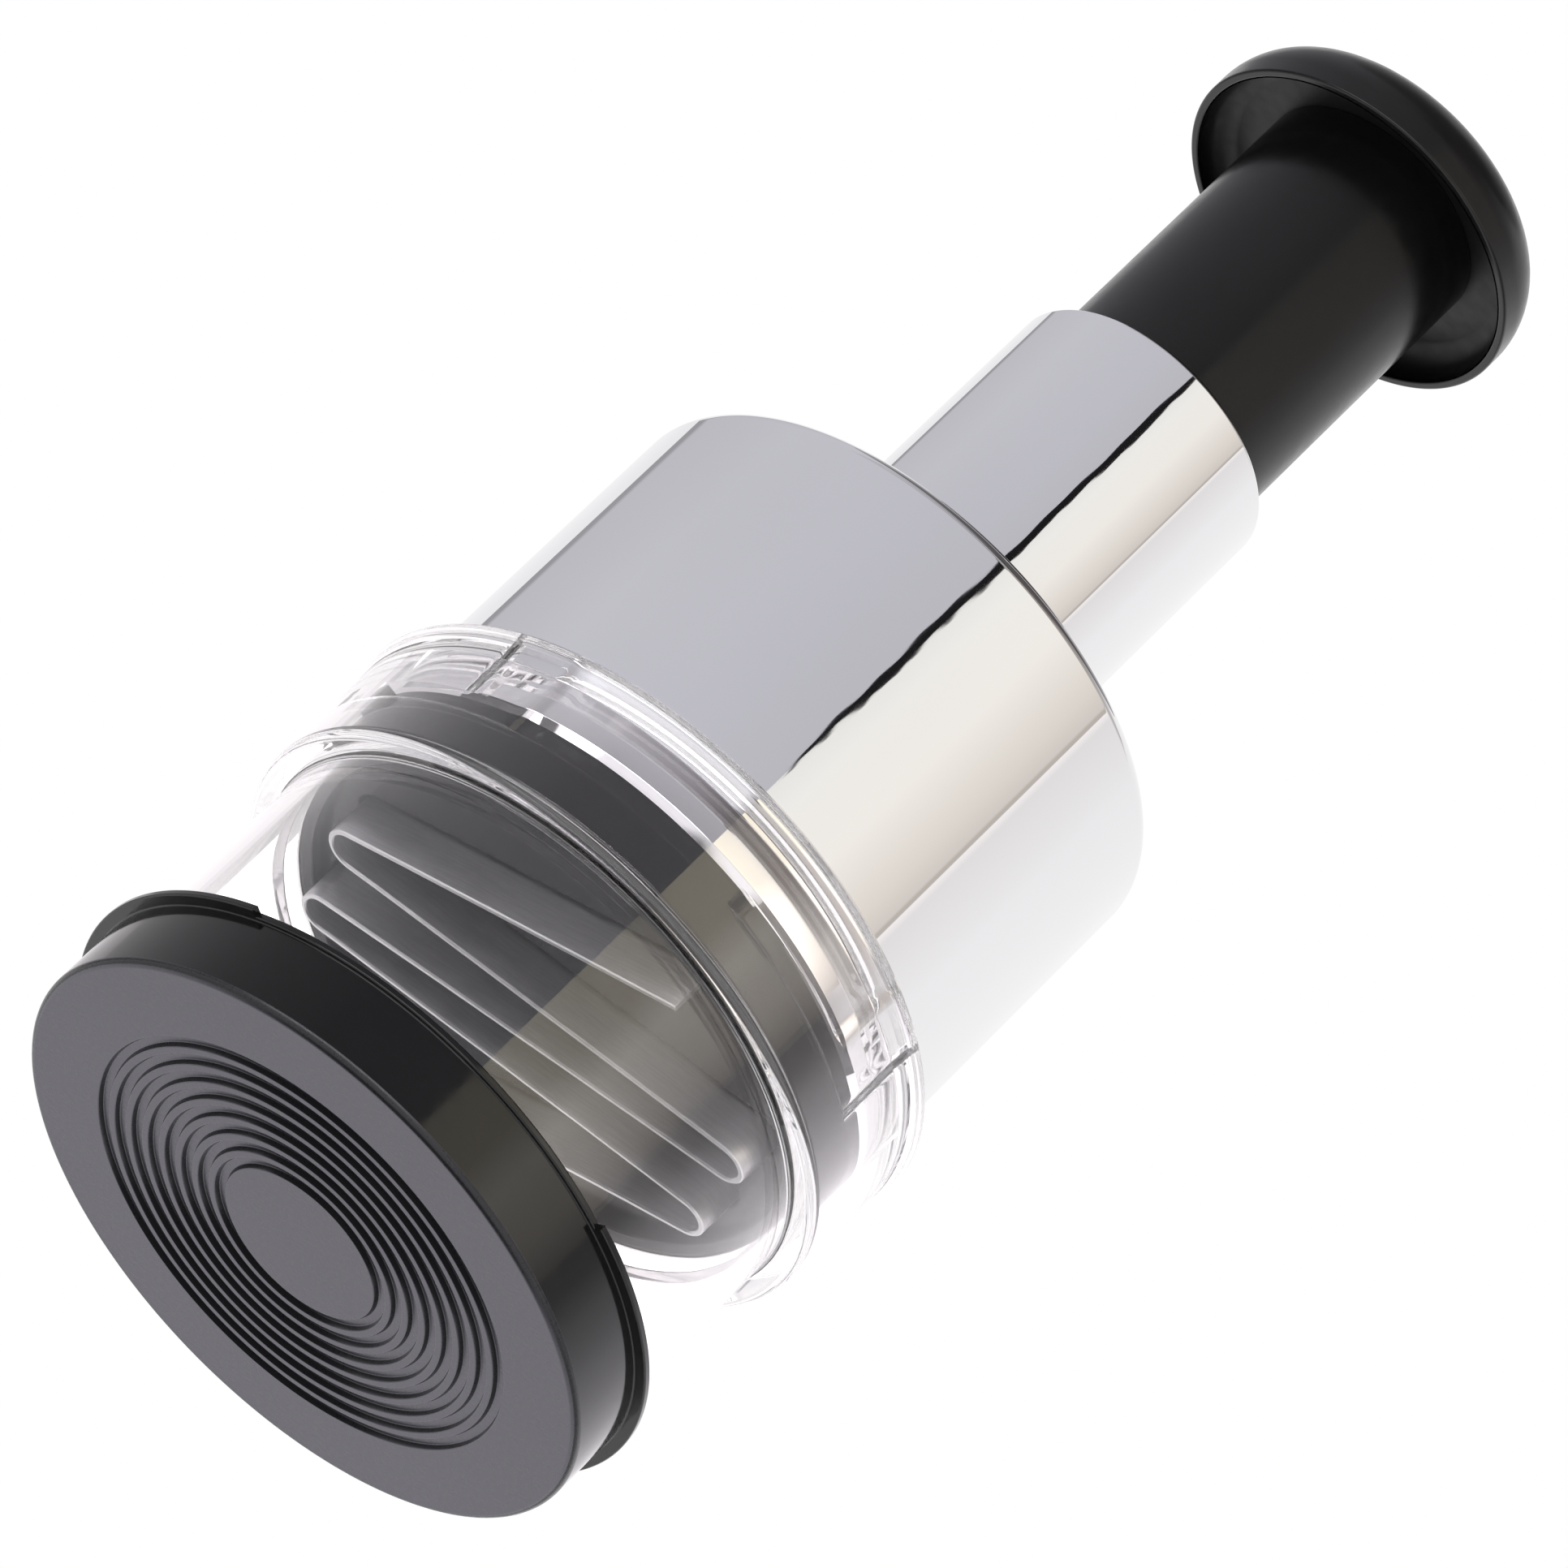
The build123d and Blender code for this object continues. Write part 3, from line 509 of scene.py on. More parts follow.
first_pin, second_pin = hairpins
enter = touch_normal(first_pin, blade_tip, hairpin_radius, -1)
cross = touch_normal(first_pin, second_pin, 2 * hairpin_radius, 1)
middle = touch_normal(second_pin, -second_pin, 2 * hairpin_radius, -1)
first_arc, first_left = hairpin_arc(first_pin, enter, cross, first_pin - (blade_tip + second_pin) / 2)
second_arc, second_left = hairpin_arc(second_pin, -cross, middle, second_pin)
half_line = np.concatenate([blade_tip[None], first_arc, second_arc])
half_left = np.concatenate([first_left[:1], first_left, second_left])
blade_line = np.concatenate([half_line, -half_line[::-1]]) * mm
blade_left = np.concatenate([half_left, half_left[::-1]])
flat_path = np.pad(blade_line, ((0, 0), (0, 1)))
flat_left = np.pad(blade_left, ((0, 0), (0, 1)))
blade_section = rounded_outline([
    (edge_half, blade_bottom, strip_edge), (blade_half, blade_bottom + bevel, bevel_edge),
    (blade_half, blade_top, strip_edge), (-blade_half, blade_top, strip_edge),
    (-blade_half, blade_bottom + bevel, bevel_edge), (-edge_half, blade_bottom, strip_edge),
], arc_steps=3)
upright = np.tile((0.0, 0.0, 1.0), (len(flat_path), 1))
blade_surfaces = carried(flat_path, flat_left, upright, blade_section)
blade = piece_from("zigzag_blade_strip", blade_surfaces, [stainless])
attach(blade, "blade_carrier")
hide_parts("zigzag_blade")

pale_plastic, nodes, links, shader = new_finish("pale_plastic")
flow = grain(nodes, links, scale=45.0, detail=3.0)
tint(nodes, links, flow, (0.62, 0.61, 0.57), (0.70, 0.69, 0.65), shader.inputs["Base Color"])
spread(nodes, links, flow, low=0.32, high=0.45, target=shader.inputs["Roughness"])
relief(nodes, links, flow, depth=0.00004, shader=shader)

drawn_steel = streaked_metal(
    "drawn_steel", scale=900.0, detail=4.0, stretch=(1, 1, 0.05),
    dark=(0.44, 0.44, 0.45), light=(0.56, 0.56, 0.57), smooth=0.2, rough=0.38, depth=0.00001,
)

dress(nodes_of_frame["blade_holder"], pale_plastic)
for name in ("drive_shaft", "holder_pin"):
    dress(nodes_of_frame[name], drawn_steel)

# Liner, index ring and its screws
# Pale mouldings hidden in the shell: the liner guides the plunger, and the ring under its web has
# the keys that turn the shaft. Steel screws hold the ring to the web.

for name in ("inner_liner", "index_ring"):
    dress(nodes_of_frame[name], pale_plastic)
dress(nodes_of_frame["index_screws"], drawn_steel)

# Chromed shell
# Thin bright-chromed barrel and neck in one piece, pushed over the liner. The shoulder is flat
# with a small rolled edge, and the neck's mouth is turned in under the bush.

chrome = streaked_metal(
    "bright_chrome", scale=34.0, detail=2.0, stretch=(1, 1, 0.35),
    dark=(0.93, 0.93, 0.935), light=(0.955, 0.955, 0.96), smooth=0.015, rough=0.035, depth=0.000025,
)

shell_radius, shell_bore, shell_bottom, shoulder_top = 41.5, 40.7, 54.6, 115.4
lead_in, lead_height = 0.42, 1.4
neck_radius, neck_bore, neck_top, lip_bore, shell_wall = 19.9, 19.1, 166.9, 17.88, 0.8
shell_foot_edge, lead_edge, shoulder_edge, shoulder_inside = 0.1, 0.3, 2.2, 1.4
neck_edge, neck_inside, rolled_lip = 0.5, 0.3, 0.2
shell_outline = rounded_outline([
    (shell_bore, shell_bottom, shell_foot_edge), (shell_radius - lead_in, shell_bottom, shell_foot_edge),
    (shell_radius, shell_bottom + lead_height, lead_edge), (shell_radius, shoulder_top, shoulder_edge),
    (neck_radius, shoulder_top, neck_edge), (neck_radius, neck_top, neck_edge),
    (lip_bore, neck_top, rolled_lip), (lip_bore, neck_top - shell_wall, rolled_lip),
    (neck_bore, neck_top - shell_wall, rolled_lip), (neck_bore, shoulder_top - shell_wall, neck_inside),
    (shell_bore, shoulder_top - shell_wall, shoulder_inside),
], arc_steps=10)
shell = piece_from("chromed_shell", [turned(shell_outline, columns=384)], [chrome])
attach(shell, "housing")
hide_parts("chrome_shell")

# Neck bush
# Black sleeve pressed into the liner's mouth, with a flange that holds the shell's lip down and
# wipes the plunger.

bush_bore, bush_radius, flange_radius = 16.78, 17.78, 18.68
bush_bottom, flange_top = 154.1, 167.7
bush_edge, flange_edge, flange_hollow = 0.2, 0.3, 0.05
bush_outline = rounded_outline([
    (bush_bore, bush_bottom, bush_edge), (bush_radius, bush_bottom, bush_edge),
    (bush_radius, neck_top, flange_hollow), (flange_radius, neck_top, bush_edge),
    (flange_radius, flange_top, flange_edge), (bush_bore, flange_top, flange_edge),
])
bush = piece_from("neck_bush_moulding", [turned(bush_outline)], [black_gloss])
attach(bush, "housing")
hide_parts("neck_bush")

# Plunger tube
# Black moulded tube that slides in the bush. Two long slots in its hidden lower end let the
# index ring's keys through.

black_soft = moulded_plastic(
    "black_soft_gloss_plastic", index=1.41,
    clouds=(48.0, 3.0), dark=(0.0052, 0.0050, 0.0052), light=(0.0066, 0.0063, 0.0064),
    wear=(380.0, 4.0), smooth=0.19, rough=0.27, depth=0.00003,
)

tube_bore, tube_radius, tube_bottom, tube_top = 14.2, 16.7, 101.0, 216.7
key_slot_bottom, key_slot_top, key_slot_half = 106.0, 147.8, 4.8
key_slot_columns, wall_columns = 8, 112
tube_foot_edge, tube_top_edge = 0.3, 0.1


def tube_outline(bottom, top):
    """Section of the tube's wall between two heights."""
    return rounded_outline([
        (tube_bore, bottom, tube_foot_edge), (tube_radius, bottom, tube_foot_edge),
        (tube_radius, top, tube_top_edge), (tube_bore, top, tube_top_edge),
    ])


below_slot, above_slot = tube_outline(tube_bottom, key_slot_bottom), tube_outline(key_slot_top, tube_top)
wall_half = 2 * arc_points
# The full wall takes in the end points of the slot's sill and head, where the end faces close.
full_wall = tuple(
    np.concatenate([low[:wall_half + 1], high[wall_half - 1:], high[:1], low[-1:]])
    for low, high in zip(below_slot, above_slot)
)
sill_run, head_run = below_slot[0][wall_half:], above_slot[0][:wall_half][::-1]
tube_surfaces = []
for slot_angle in (0, 180):
    first, last = slot_angle - key_slot_half, slot_angle + key_slot_half
    tube_surfaces.append(turned(below_slot, first, last, key_slot_columns))
    tube_surfaces.append(turned(above_slot, first, last, key_slot_columns))
    tube_surfaces.append(turned(full_wall, last, first + 180, wall_columns))
    tube_surfaces.append(end_face(sill_run, head_run, first, 1))
    tube_surfaces.append(end_face(sill_run, head_run, last, -1))
tube = piece_from("plunger_tube_moulding", tube_surfaces, [black_soft])
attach(tube, "plunger")
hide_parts("plunger_tube")

# Return spring and its seats
# Round steel wire in open turns between two washers inside the tube. The real spring shortens as
# the plunger goes down; here its turns are built at one length.

spring_radius, wire_radius, spring_turns = 10.5, 0.8, 13
spring_foot, spring_head, press_travel = 112.5, 204.6, 37.0
turn_points, wire_points = 48, 16
turn = np.linspace(0, 2 * np.pi * spring_turns, spring_turns * turn_points + 1)
rise = (spring_head - spring_foot) / (2 * np.pi * spring_turns)
coil = np.stack([
    spring_radius * np.cos(turn), spring_radius * np.sin(turn), spring_foot + rise * turn,
], 1) * mm
outward = np.stack([np.cos(turn), np.sin(turn), 0 * turn], 1)
heading = np.stack([-spring_radius * np.sin(turn), spring_radius * np.cos(turn), rise + 0 * turn], 1)
heading /= np.linalg.norm(heading, axis=1, keepdims=True)
round_angle = np.linspace(0, 2 * np.pi, wire_points, endpoint=False)
wire_normal = np.stack([np.cos(round_angle), np.sin(round_angle)], 1)
wire = (wire_normal * wire_radius * mm, wire_normal)
spring_surfaces = carried(coil, outward, np.cross(heading, outward), wire)
spring = piece_from("return_spring_wire", spring_surfaces, [drawn_steel])
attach(spring, "housing")
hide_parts("return_spring")
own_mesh(spring)
for name in ("lower_spring_seat", "upper_spring_seat"):
    dress(nodes_of_frame[name], drawn_steel)

# Knob, its cover and the shaft's screw
# Black mushroom moulding, hollow underneath, plugged into the tube. Its sides roll over to a flat
# crest, where a slightly crowned disc snaps in over the screw and washer that keep the shaft.

black_core = moulded_plastic(
    "black_core_plastic", index=1.33,
    clouds=(60.0, 3.0), dark=(0.0055, 0.0053, 0.0055), light=(0.0075, 0.0072, 0.0073),
    wear=(500.0, 3.0), smooth=0.34, rough=0.44, depth=0.00001, worn_relief=True,
)

knob_radius, knob_rim, crest_radius, knob_crest = 25.6, 212.0, 21.6, 222.0
side_corner, side_round = 219.2, 8.6
bowl_rim, bowl_corner, bowl_round, bowl_floor = 24.3, 25.99, 3.45, 216.7
plug_radius, plug_bottom, shaft_hole = 14.18, 206.7, 4.58
cover_radius, cover_bottom, cover_top = 19.8, 220.4, 223.3
well_radius, well_floor, cover_gap = 8.0, 218.0, 0.02
seat_radius = cover_radius + cover_gap
knob_rim_edge, bowl_rim_edge, crest_edge, seat_edge, seat_hollow = 0.4, 0.3, 0.5, 0.12, 0.1
well_edge, plug_edge, plug_hollow = 0.2, 0.3, 0.1
knob_outline = rounded_outline([
    (bowl_rim, knob_rim, bowl_rim_edge), (knob_radius, knob_rim, knob_rim_edge),
    (knob_radius, side_corner, side_round), (crest_radius, knob_crest, crest_edge),
    (seat_radius, knob_crest, seat_edge), (seat_radius, cover_bottom, seat_hollow),
    (well_radius, cover_bottom, well_edge), (well_radius, well_floor, well_edge),
    (shaft_hole, well_floor, well_edge), (shaft_hole, plug_bottom, well_edge),
    (plug_radius, plug_bottom, plug_edge), (plug_radius, bowl_floor, plug_hollow),
    (bowl_corner, bowl_floor, bowl_round),
], arc_steps=12)
rim_margin, floor_margin, downward = 0.2, 0.1, -0.5


def under_knob(middle, facing):
    """Faces of the hollow underside: between the rim and the bowl's floor, facing down or inwards."""
    inwards = (middle[:, :2] * facing[:, :2]).sum(1) < 0
    height = middle[:, 2]
    hollow = (height > (knob_rim + rim_margin) * mm) & (height < (bowl_floor + floor_margin) * mm)
    return hollow & (inwards | (facing[:, 2] < downward))


knob = piece_from("knob_moulding", [turned(knob_outline)], [black_soft, black_core], under_knob)
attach(knob, "plunger")
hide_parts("knob")

crown_corner, crown_round = 9.9, 148.0
cover_foot_edge, cover_edge = 0.2, 0.3
cover_outline = rounded_outline([
    (0, cover_bottom), (cover_radius, cover_bottom, cover_foot_edge),
    (cover_radius, knob_crest, cover_edge), (crown_corner, cover_top, crown_round), (0, cover_top),
], arc_steps=12, on_axis=True)
cover = piece_from("knob_cover_disc", [turned(cover_outline, on_axis=True)], [black_soft])
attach(cover, "plunger")
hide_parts("knob_cover")

dress(nodes_of_frame["shaft_screw"], drawn_steel)
dress(nodes_of_frame["thrust_washer"], pale_plastic)

# Studio: floor, glowing panels and lamps
# A pale floor with the mincer standing on it, open under the standing face and clear from below,
# and glowing panels round it that are seen only in surfaces that mirror them. They are painted reflections,
# with painted light in their bright bands and painted shade in their dark ones. Soft lamps stand above.

floor_outer, floor_hole, floor_level = 3.0, 0.0431, -0.0002
fade_start, fade_end = 0.35, 1.1
floor_angle = np.linspace(0, 2 * np.pi, 97)
floor_reach = np.array([floor_hole, 0.1, 0.4, floor_outer])
floor_places = np.stack([
    floor_reach[:, None] * np.cos(floor_angle), floor_reach[:, None] * np.sin(floor_angle),
    np.full((len(floor_reach), len(floor_angle)), floor_level),
], -1)
index = np.arange(floor_places.shape[0] * floor_places.shape[1]).reshape(floor_places.shape[:2])
floor_quads = np.stack([index[:-1, :-1], index[1:, :-1], index[1:, 1:], index[:-1, 1:]], -1)
floor_finish, nodes, links, shader = new_finish("pale_floor")
shader.inputs["Base Color"].default_value = (0.86, 0.86, 0.865, 1)
shader.inputs["Roughness"].default_value = 0.6
clear_side = nodes.new("ShaderNodeBsdfTransparent")
which_side = nodes.new("ShaderNodeNewGeometry")
side_mix = nodes.new("ShaderNodeMixShader")
where = nodes.new("ShaderNodeTexCoord")
reach = nodes.new("ShaderNodeVectorMath")
reach.operation = "LENGTH"
links.new(where.outputs["Object"], reach.inputs[0])
fade = nodes.new("ShaderNodeMapRange")
fade.inputs["From Min"].default_value = fade_start
fade.inputs["From Max"].default_value = fade_end
links.new(reach.outputs["Value"], fade.inputs["Value"])
clear_share = nodes.new("ShaderNodeMath")
clear_share.operation = "MAXIMUM"
links.new(which_side.outputs["Backfacing"], clear_share.inputs[0])
links.new(fade.outputs["Result"], clear_share.inputs[1])
links.new(clear_share.outputs["Value"], side_mix.inputs["Fac"])
links.new(shader.outputs["BSDF"], side_mix.inputs[1])
links.new(clear_side.outputs["BSDF"], side_mix.inputs[2])
links.new(side_mix.outputs["Shader"], nodes["Material Output"].inputs["Surface"])
floor_facing = np.tile((0.0, 0.0, 1.0), (index.size, 1))
floor_surface = (floor_places.reshape(-1, 3), floor_facing, floor_quads.reshape(-1, 4))
floor = piece_from("floor", [floor_surface], [floor_finish])


def glowpanel_wall(name, radius, start, end, height, upper, lower=None, change=(0.478, 0.492)):
    """Glowing panel round the mincer, with a radius and its two edges' angles at each height: places are
    (radius cos a, radius sin a, height). upper and lower are its glow, as (share of the way round,
    colour), above and below the change of height. Only surfaces that mirror it see it, so it is a painted
    reflection: painted light where it glows bright, painted shade where it is dark."""
    columns = 65
    height = np.asarray(height, float)
    radius = np.broadcast_to(radius, height.shape)[:, None]
    share = np.linspace(0, 1, columns)
    first = np.broadcast_to(start, height.shape)[:, None]
    last = np.broadcast_to(end, height.shape)[:, None]
    angle = np.radians(first + (last - first) * share)
    level = np.broadcast_to(height[:, None], angle.shape)
    places = np.stack([radius * np.cos(angle), radius * np.sin(angle), level], -1)
    number = np.arange(angle.size).reshape(angle.shape)
    corners = [number[:-1, :-1], number[1:, :-1], number[1:, 1:], number[:-1, 1:]]
    quads = np.stack(corners, -1).reshape(-1, 4)
    mesh = bpy.data.meshes.new(name)
    mesh.from_pydata(places.reshape(-1, 3).tolist(), [], quads.tolist())
    across = np.stack([np.broadcast_to(share, angle.shape), level], -1).reshape(-1, 2)
    layer = mesh.uv_layers.new(name="cloth")
    layer.data.foreach_set("uv", across[quads.reshape(-1)].reshape(-1))
    finish, nodes, links, shader = new_finish(name)
    nodes.remove(shader)
    where = nodes.new("ShaderNodeUVMap")
    where.uv_map = "cloth"
    split = nodes.new("ShaderNodeSeparateXYZ")
    links.new(where.outputs["UV"], split.inputs["Vector"])
    blend = nodes.new("ShaderNodeMix")
    blend.data_type = "RGBA"
    lower_socket, upper_socket, blended = blend.inputs[6], blend.inputs[7], blend.outputs[2]
    for stops, socket in ((lower or upper, lower_socket), (upper, upper_socket)):
        ramp = nodes.new("ShaderNodeValToRGB")
        while len(ramp.color_ramp.elements) < len(stops):
            ramp.color_ramp.elements.new(1.0)
        for element, (position, colour) in zip(ramp.color_ramp.elements, stops):
            element.position = position
            element.color = (*colour, 1)
        links.new(split.outputs["X"], ramp.inputs["Fac"])
        links.new(ramp.outputs["Color"], socket)
    climb = nodes.new("ShaderNodeMapRange")
    climb.inputs["From Min"].default_value = change[0]
    climb.inputs["From Max"].default_value = change[1]
    links.new(split.outputs["Y"], climb.inputs["Value"])
    links.new(climb.outputs["Result"], blend.inputs[0])
    glow = nodes.new("ShaderNodeEmission")
    links.new(blended, glow.inputs["Color"])
    path = nodes.new("ShaderNodeLightPath")
    seen = nodes.new("ShaderNodeMath")
    seen.operation = "GREATER_THAN"
    seen.inputs[1].default_value = 0.5
    unseen = nodes.new("ShaderNodeBsdfTransparent")
    mix = nodes.new("ShaderNodeMixShader")
    links.new(path.outputs["Glossy Depth"], seen.inputs[0])
    links.new(seen.outputs["Value"], mix.inputs["Fac"])
    links.new(unseen.outputs["BSDF"], mix.inputs[1])
    links.new(glow.outputs["Emission"], mix.inputs[2])
    links.new(mix.outputs["Shader"], nodes["Material Output"].inputs["Surface"])
    mesh.materials.append(finish)
    wall = bpy.data.objects.new(name, mesh)
    bpy.context.scene.collection.objects.link(wall)
    wall.visible_camera = False
    wall.visible_diffuse = False
    wall.visible_shadow = False


# Three glowing panels go all the way round: grey on the left, cream on the right of the front, white
# behind.
# Their bands are painted light and painted shade, which mirrors show as painted reflections.
wall_radius, fold_radius, strip_radius = 0.8, 0.79, 0.78
wall_height = (0.0, 1.6)
glowpanel_wall("grey_glowpanel_wall", wall_radius, -90, -231, wall_height, [
    (0.0, (0.51, 0.505, 0.54)), (0.2, (0.535, 0.53, 0.58)), (0.65, (0.56, 0.555, 0.60)),
    (0.955, (0.52, 0.515, 0.55)), (0.975, (0.33, 0.325, 0.345)),
], [
    (0.0, (0.34, 0.335, 0.36)), (0.3, (0.34, 0.335, 0.36)), (0.55, (0.48, 0.475, 0.50)),
    (0.7, (0.62, 0.61, 0.64)), (0.95, (0.70, 0.685, 0.70)),
])
glowpanel_wall("cream_glowpanel_wall", wall_radius, -90, -26, wall_height, [
    (0.0, (0.84, 0.83, 0.80)), (0.15, (0.90, 0.88, 0.84)), (0.5, (0.90, 0.86, 0.81)),
    (0.85, (0.74, 0.69, 0.63)), (0.965, (0.66, 0.61, 0.57)), (0.98, (0.50, 0.46, 0.42)),
], [
    (0.0, (1.20, 1.12, 0.92)), (0.3, (1.28, 1.18, 0.98)), (0.5, (1.90, 1.80, 1.62)),
    (0.8, (1.40, 1.30, 1.18)), (0.98, (0.80, 0.75, 0.70)),
])
glowpanel_wall("white_glowpanel_wall", wall_radius, -26, 129, wall_height, [
    (0.0, (0.95, 0.90, 0.90)), (0.02, (0.78, 0.76, 0.76)), (0.2, (0.88, 0.87, 0.88)),
    (0.6, (0.95, 0.945, 0.95)), (0.8, (0.93, 0.92, 0.93)), (0.97, (0.85, 0.84, 0.86)),
], [
    (0.0, (0.50, 0.48, 0.48)), (0.06, (0.55, 0.53, 0.53)), (0.14, (1.00, 0.97, 1.00)),
    (0.28, (1.30, 1.26, 1.32)), (0.7, (1.25, 1.21, 1.24)), (0.97, (0.95, 0.92, 0.94)),
])

# A dark crinkled seam of painted shade, glowing hardly at all, hangs where the grey and the cream panel
# meet.
seam_height = np.linspace(0.5, 0.672, 168)
seam_half = np.interp(
    seam_height, (0.5, 0.511, 0.53, 0.575, 0.585, 0.595, 0.61, 0.63, 0.645, 0.66, 0.672),
    (0.0, 0.9, 1.6, 1.5, 2.0, 3.2, 2.5, 2.4, 3.2, 2.0, 0.3),
)
seam_middle = -90 + 0.45 * np.sin(seam_height * 180) + 0.35 * np.sin(seam_height * 470)
seam_ripple = 0.4 * np.sin(seam_height * 640) + 0.25 * np.sin(seam_height * 1130)
seam_left, seam_right = seam_middle - seam_half, seam_middle + seam_half + seam_ripple
seam_shade_black = (0.012, 0.011, 0.012)
glowpanel_wall("glowpanel_seam", fold_radius, seam_left, seam_right, seam_height, [
    (0.0, seam_shade_black), (1.0, seam_shade_black),
])

# A glowing panel hangs over the front, painted dark in its middle as painted shade and paler towards its
# edges, with another glowing strip across it.
glowpanel_wall("glowpanel_fold", fold_radius, -160, 0, (0.675, 1.5), [
    (0.0, (0.50, 0.49, 0.53)), (0.3, (0.26, 0.25, 0.27)), (0.43, (0.07, 0.06, 0.06)),
    (0.6, (0.14, 0.12, 0.11)), (0.8, (0.35, 0.33, 0.32)), (1.0, (0.70, 0.69, 0.70)),
], [
    (0.0, (0.50, 0.49, 0.52)), (0.425, (0.43, 0.42, 0.43)), (0.45, (0.58, 0.55, 0.52)),
    (0.85, (0.60, 0.55, 0.52)), (1.0, (0.72, 0.71, 0.72)),
], change=(0.72, 0.80))
glowpanel_wall("high_glowpanel", strip_radius, -150, 0, (0.82, 0.94), [
    (0.0, (0.52, 0.51, 0.54)), (0.38, (0.52, 0.51, 0.54)),
    (0.45, (0.44, 0.42, 0.40)), (1.0, (0.44, 0.42, 0.40)),
])

# Near the floor a dark panel of painted shade goes round the front, with a bright glowing one of painted
# light before it.
low_white, low_dim, low_dark = (7.0, 6.9, 7.2), (0.6, 0.59, 0.6), (0.06, 0.057, 0.06)
low_soft = (1.0, 0.99, 1.03)
glowpanel_wall("low_dark_glowpanel", fold_radius, -231, 0, (0.01, 0.17), [(0.0, low_dark), (1.0, low_dark)])
glowpanel_wall(
    "low_white_glowpanel", strip_radius, (-143, -145, -148, -152, -160), (-66, -68, -89, -90, -92),
    (0.001, 0.03, 0.04, 0.08, 0.17), [(0.0, low_dim), (0.08, low_white), (0.93, low_white), (1.0, low_dim)],
    [(0.0, low_dim), (0.08, low_soft), (0.93, low_soft), (1.0, low_dim)], change=(0.035, 0.055),
)

# A glowing ceiling closes the panels above, and a streaked glowing ring lies just over the floor. Their
# bright and dark bands are painted light and painted shade that mirrors show.
ceiling_height, middle_radius = 1.5, 0.01
glowpanel_wall("glowpanel_ceiling", (fold_radius, middle_radius), -180, 180, (ceiling_height, ceiling_height), [
    (0.0, (0.18, 0.175, 0.18)), (0.15, (0.10, 0.095, 0.10)), (0.45, (0.08, 0.07, 0.07)),
    (0.6, (0.40, 0.39, 0.40)), (0.75, (0.60, 0.59, 0.60)), (0.9, (0.40, 0.39, 0.40)),
    (1.0, (0.18, 0.175, 0.18)),
])
floor_white = (1.25, 1.24, 1.27)
glowpanel_wall("floor_glowpanel", (0.13, 0.28, 0.78), -180, 180, (0.0006, 0.003, 0.003), [
    (0.0, (0.42, 0.415, 0.44)), (0.12, (0.50, 0.495, 0.53)), (0.22, (0.55, 0.545, 0.58)),
    (0.243, (0.12, 0.115, 0.12)), (0.262, (0.86, 0.84, 0.80)), (0.40, (0.80, 0.76, 0.71)),
    (0.43, (0.36, 0.34, 0.33)), (0.50, (0.52, 0.51, 0.52)), (0.545, (0.16, 0.155, 0.16)),
    (0.58, (0.66, 0.65, 0.66)), (0.64, (0.74, 0.73, 0.75)), (0.68, floor_white),
    (0.82, floor_white), (0.86, (0.74, 0.73, 0.75)), (0.91, (0.66, 0.65, 0.67)),
    (0.94, (0.20, 0.195, 0.205)), (1.0, (0.42, 0.415, 0.44)),
], [(0.0, floor_white), (1.0, floor_white)], change=(0.0006, 0.003))

# Under the floor a bright glowing panel of painted light stands behind, and dark panels of painted shade in
# front and at the bottom.
pit_depth, pit_top = -1.2, -0.05
below_white, below_dark = (1.62, 1.57, 1.74), (0.06, 0.058, 0.06)
all_white, all_dark = [(0.0, below_white), (1.0, below_white)], [(0.0, below_dark), (1.0, below_dark)]
pit_radius, pit_height = (middle_radius, wall_radius, wall_radius), (pit_depth, pit_depth, pit_top)
glowpanel_wall("glowpanel_below", wall_radius, 0, 180, (pit_depth, pit_top), all_white)
glowpanel_wall("glowpanel_pit", pit_radius, -180, 0, pit_height, all_dark)
glowpanel_wall("glowpanel_pit_back", (middle_radius, wall_radius), 0, 180, (pit_depth, pit_depth), all_dark)


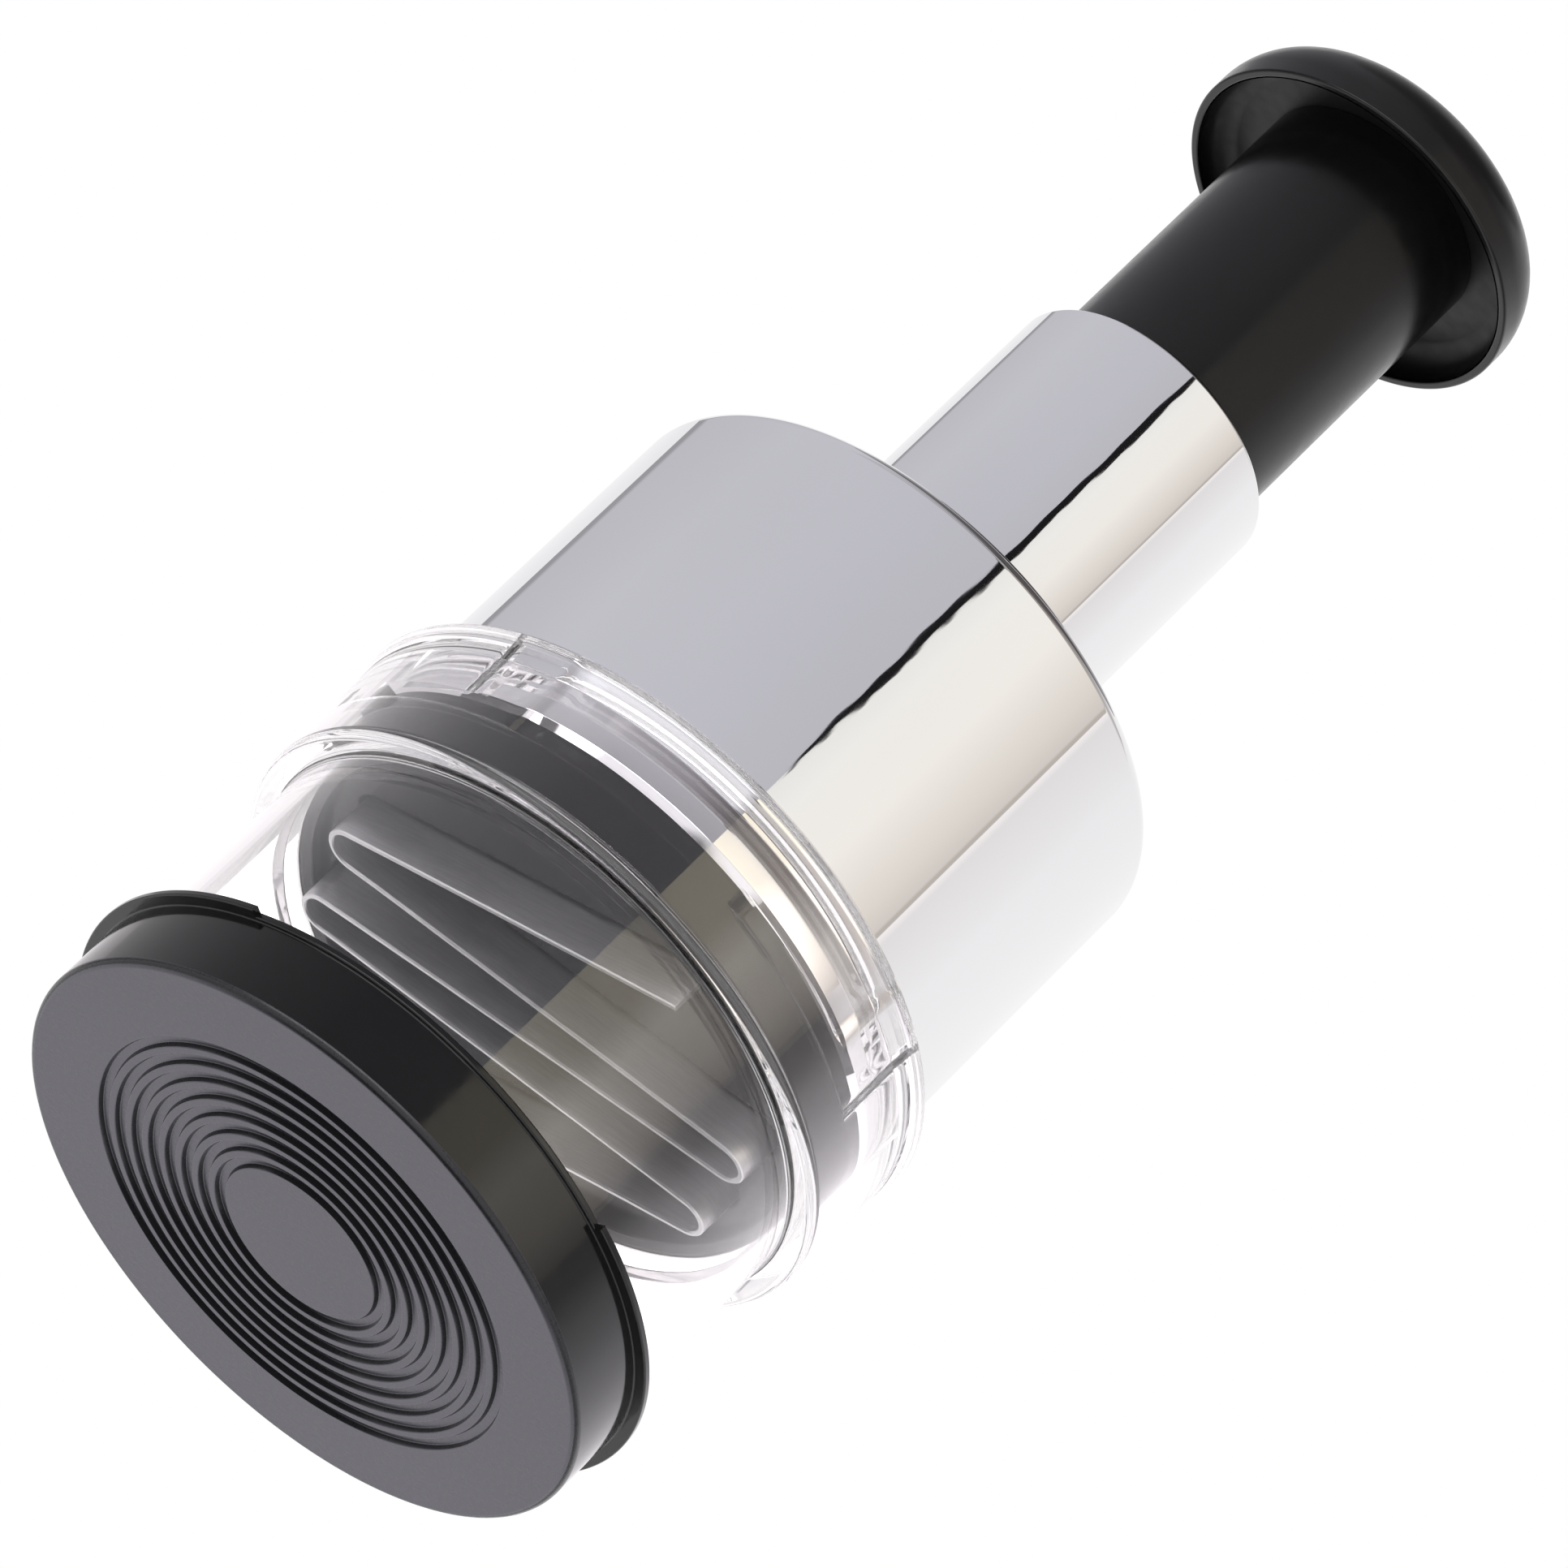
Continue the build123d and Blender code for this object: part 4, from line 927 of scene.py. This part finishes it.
def soft_lamp(name, place, power, target=(0, 0, 0.1), width=1.2):
    """Square area lamp at a place, facing a target."""
    data = bpy.data.lights.new(name, "AREA")
    data.size = width
    data.energy = power
    lamp = bpy.data.objects.new(name, data)
    back = np.array(place) - np.array(target)
    back = back / np.linalg.norm(back)
    side = np.cross((0.0, 0.0, 1.0), back)
    side = side / np.linalg.norm(side)
    up = np.cross(back, side)
    turn_to = Matrix(np.stack([side, up, back], 1).tolist()).to_4x4()
    lamp.matrix_world = Matrix.Translation(place) @ turn_to
    lamp.visible_glossy = False
    bpy.context.scene.collection.objects.link(lamp)


soft_lamp("key_lamp", (-0.9, -0.7, 1.5), power=26.0)
soft_lamp("fill_lamp", (1.1, -0.2, 1.1), power=12.0)
soft_lamp("back_lamp", (0.1, 1.2, 1.2), power=10.0)

# The world is white to the camera, in mirrors and through clear pieces, and dimmer as soft light.
world = bpy.data.worlds.new("studio_white")
bpy.context.scene.world = world
world.use_nodes = True
nodes, links = world.node_tree.nodes, world.node_tree.links
sky = nodes["Background"]
sky.inputs["Color"].default_value = (1, 1, 1, 1)
path = nodes.new("ShaderNodeLightPath")
either = nodes.new("ShaderNodeMath")
either.operation = "MAXIMUM"
any_of = nodes.new("ShaderNodeMath")
any_of.operation = "MAXIMUM"
level = nodes.new("ShaderNodeMapRange")
level.inputs["To Min"].default_value = 0.45
level.inputs["To Max"].default_value = 1.0
links.new(path.outputs["Is Camera Ray"], either.inputs[0])
links.new(path.outputs["Is Glossy Ray"], either.inputs[1])
links.new(either.outputs["Value"], any_of.inputs[0])
links.new(path.outputs["Is Transmission Ray"], any_of.inputs[1])
links.new(any_of.outputs["Value"], level.inputs["Value"])
links.new(level.outputs["Result"], sky.inputs["Strength"])

# Camera
# A long lens below the standing face, looking up past it along the mincer, and rolled so that the
# plunger runs to the upper right.

camera_data = bpy.data.cameras.new("camera")
camera_data.sensor_width = 36.0
camera_data.lens = 250.7
camera_data.shift_x = -0.0124
camera_data.shift_y = 0.0166
camera_data.clip_end = 20.0
camera = bpy.data.objects.new("camera", camera_data)
bpy.context.scene.collection.objects.link(camera)
camera_place = (0.0048, -1.1869, -0.5865)
camera_right = (0.69677, -0.35625, 0.62258)
camera_up = (-0.71731, -0.34605, 0.60476)
camera_back = (0.0, -0.86795, -0.49666)
camera_turn = Matrix((camera_right, camera_up, camera_back)).transposed().to_4x4()
camera.matrix_world = Matrix.Translation(camera_place) @ camera_turn
bpy.context.scene.camera = camera
bpy.context.scene.view_settings.view_transform = "Standard"
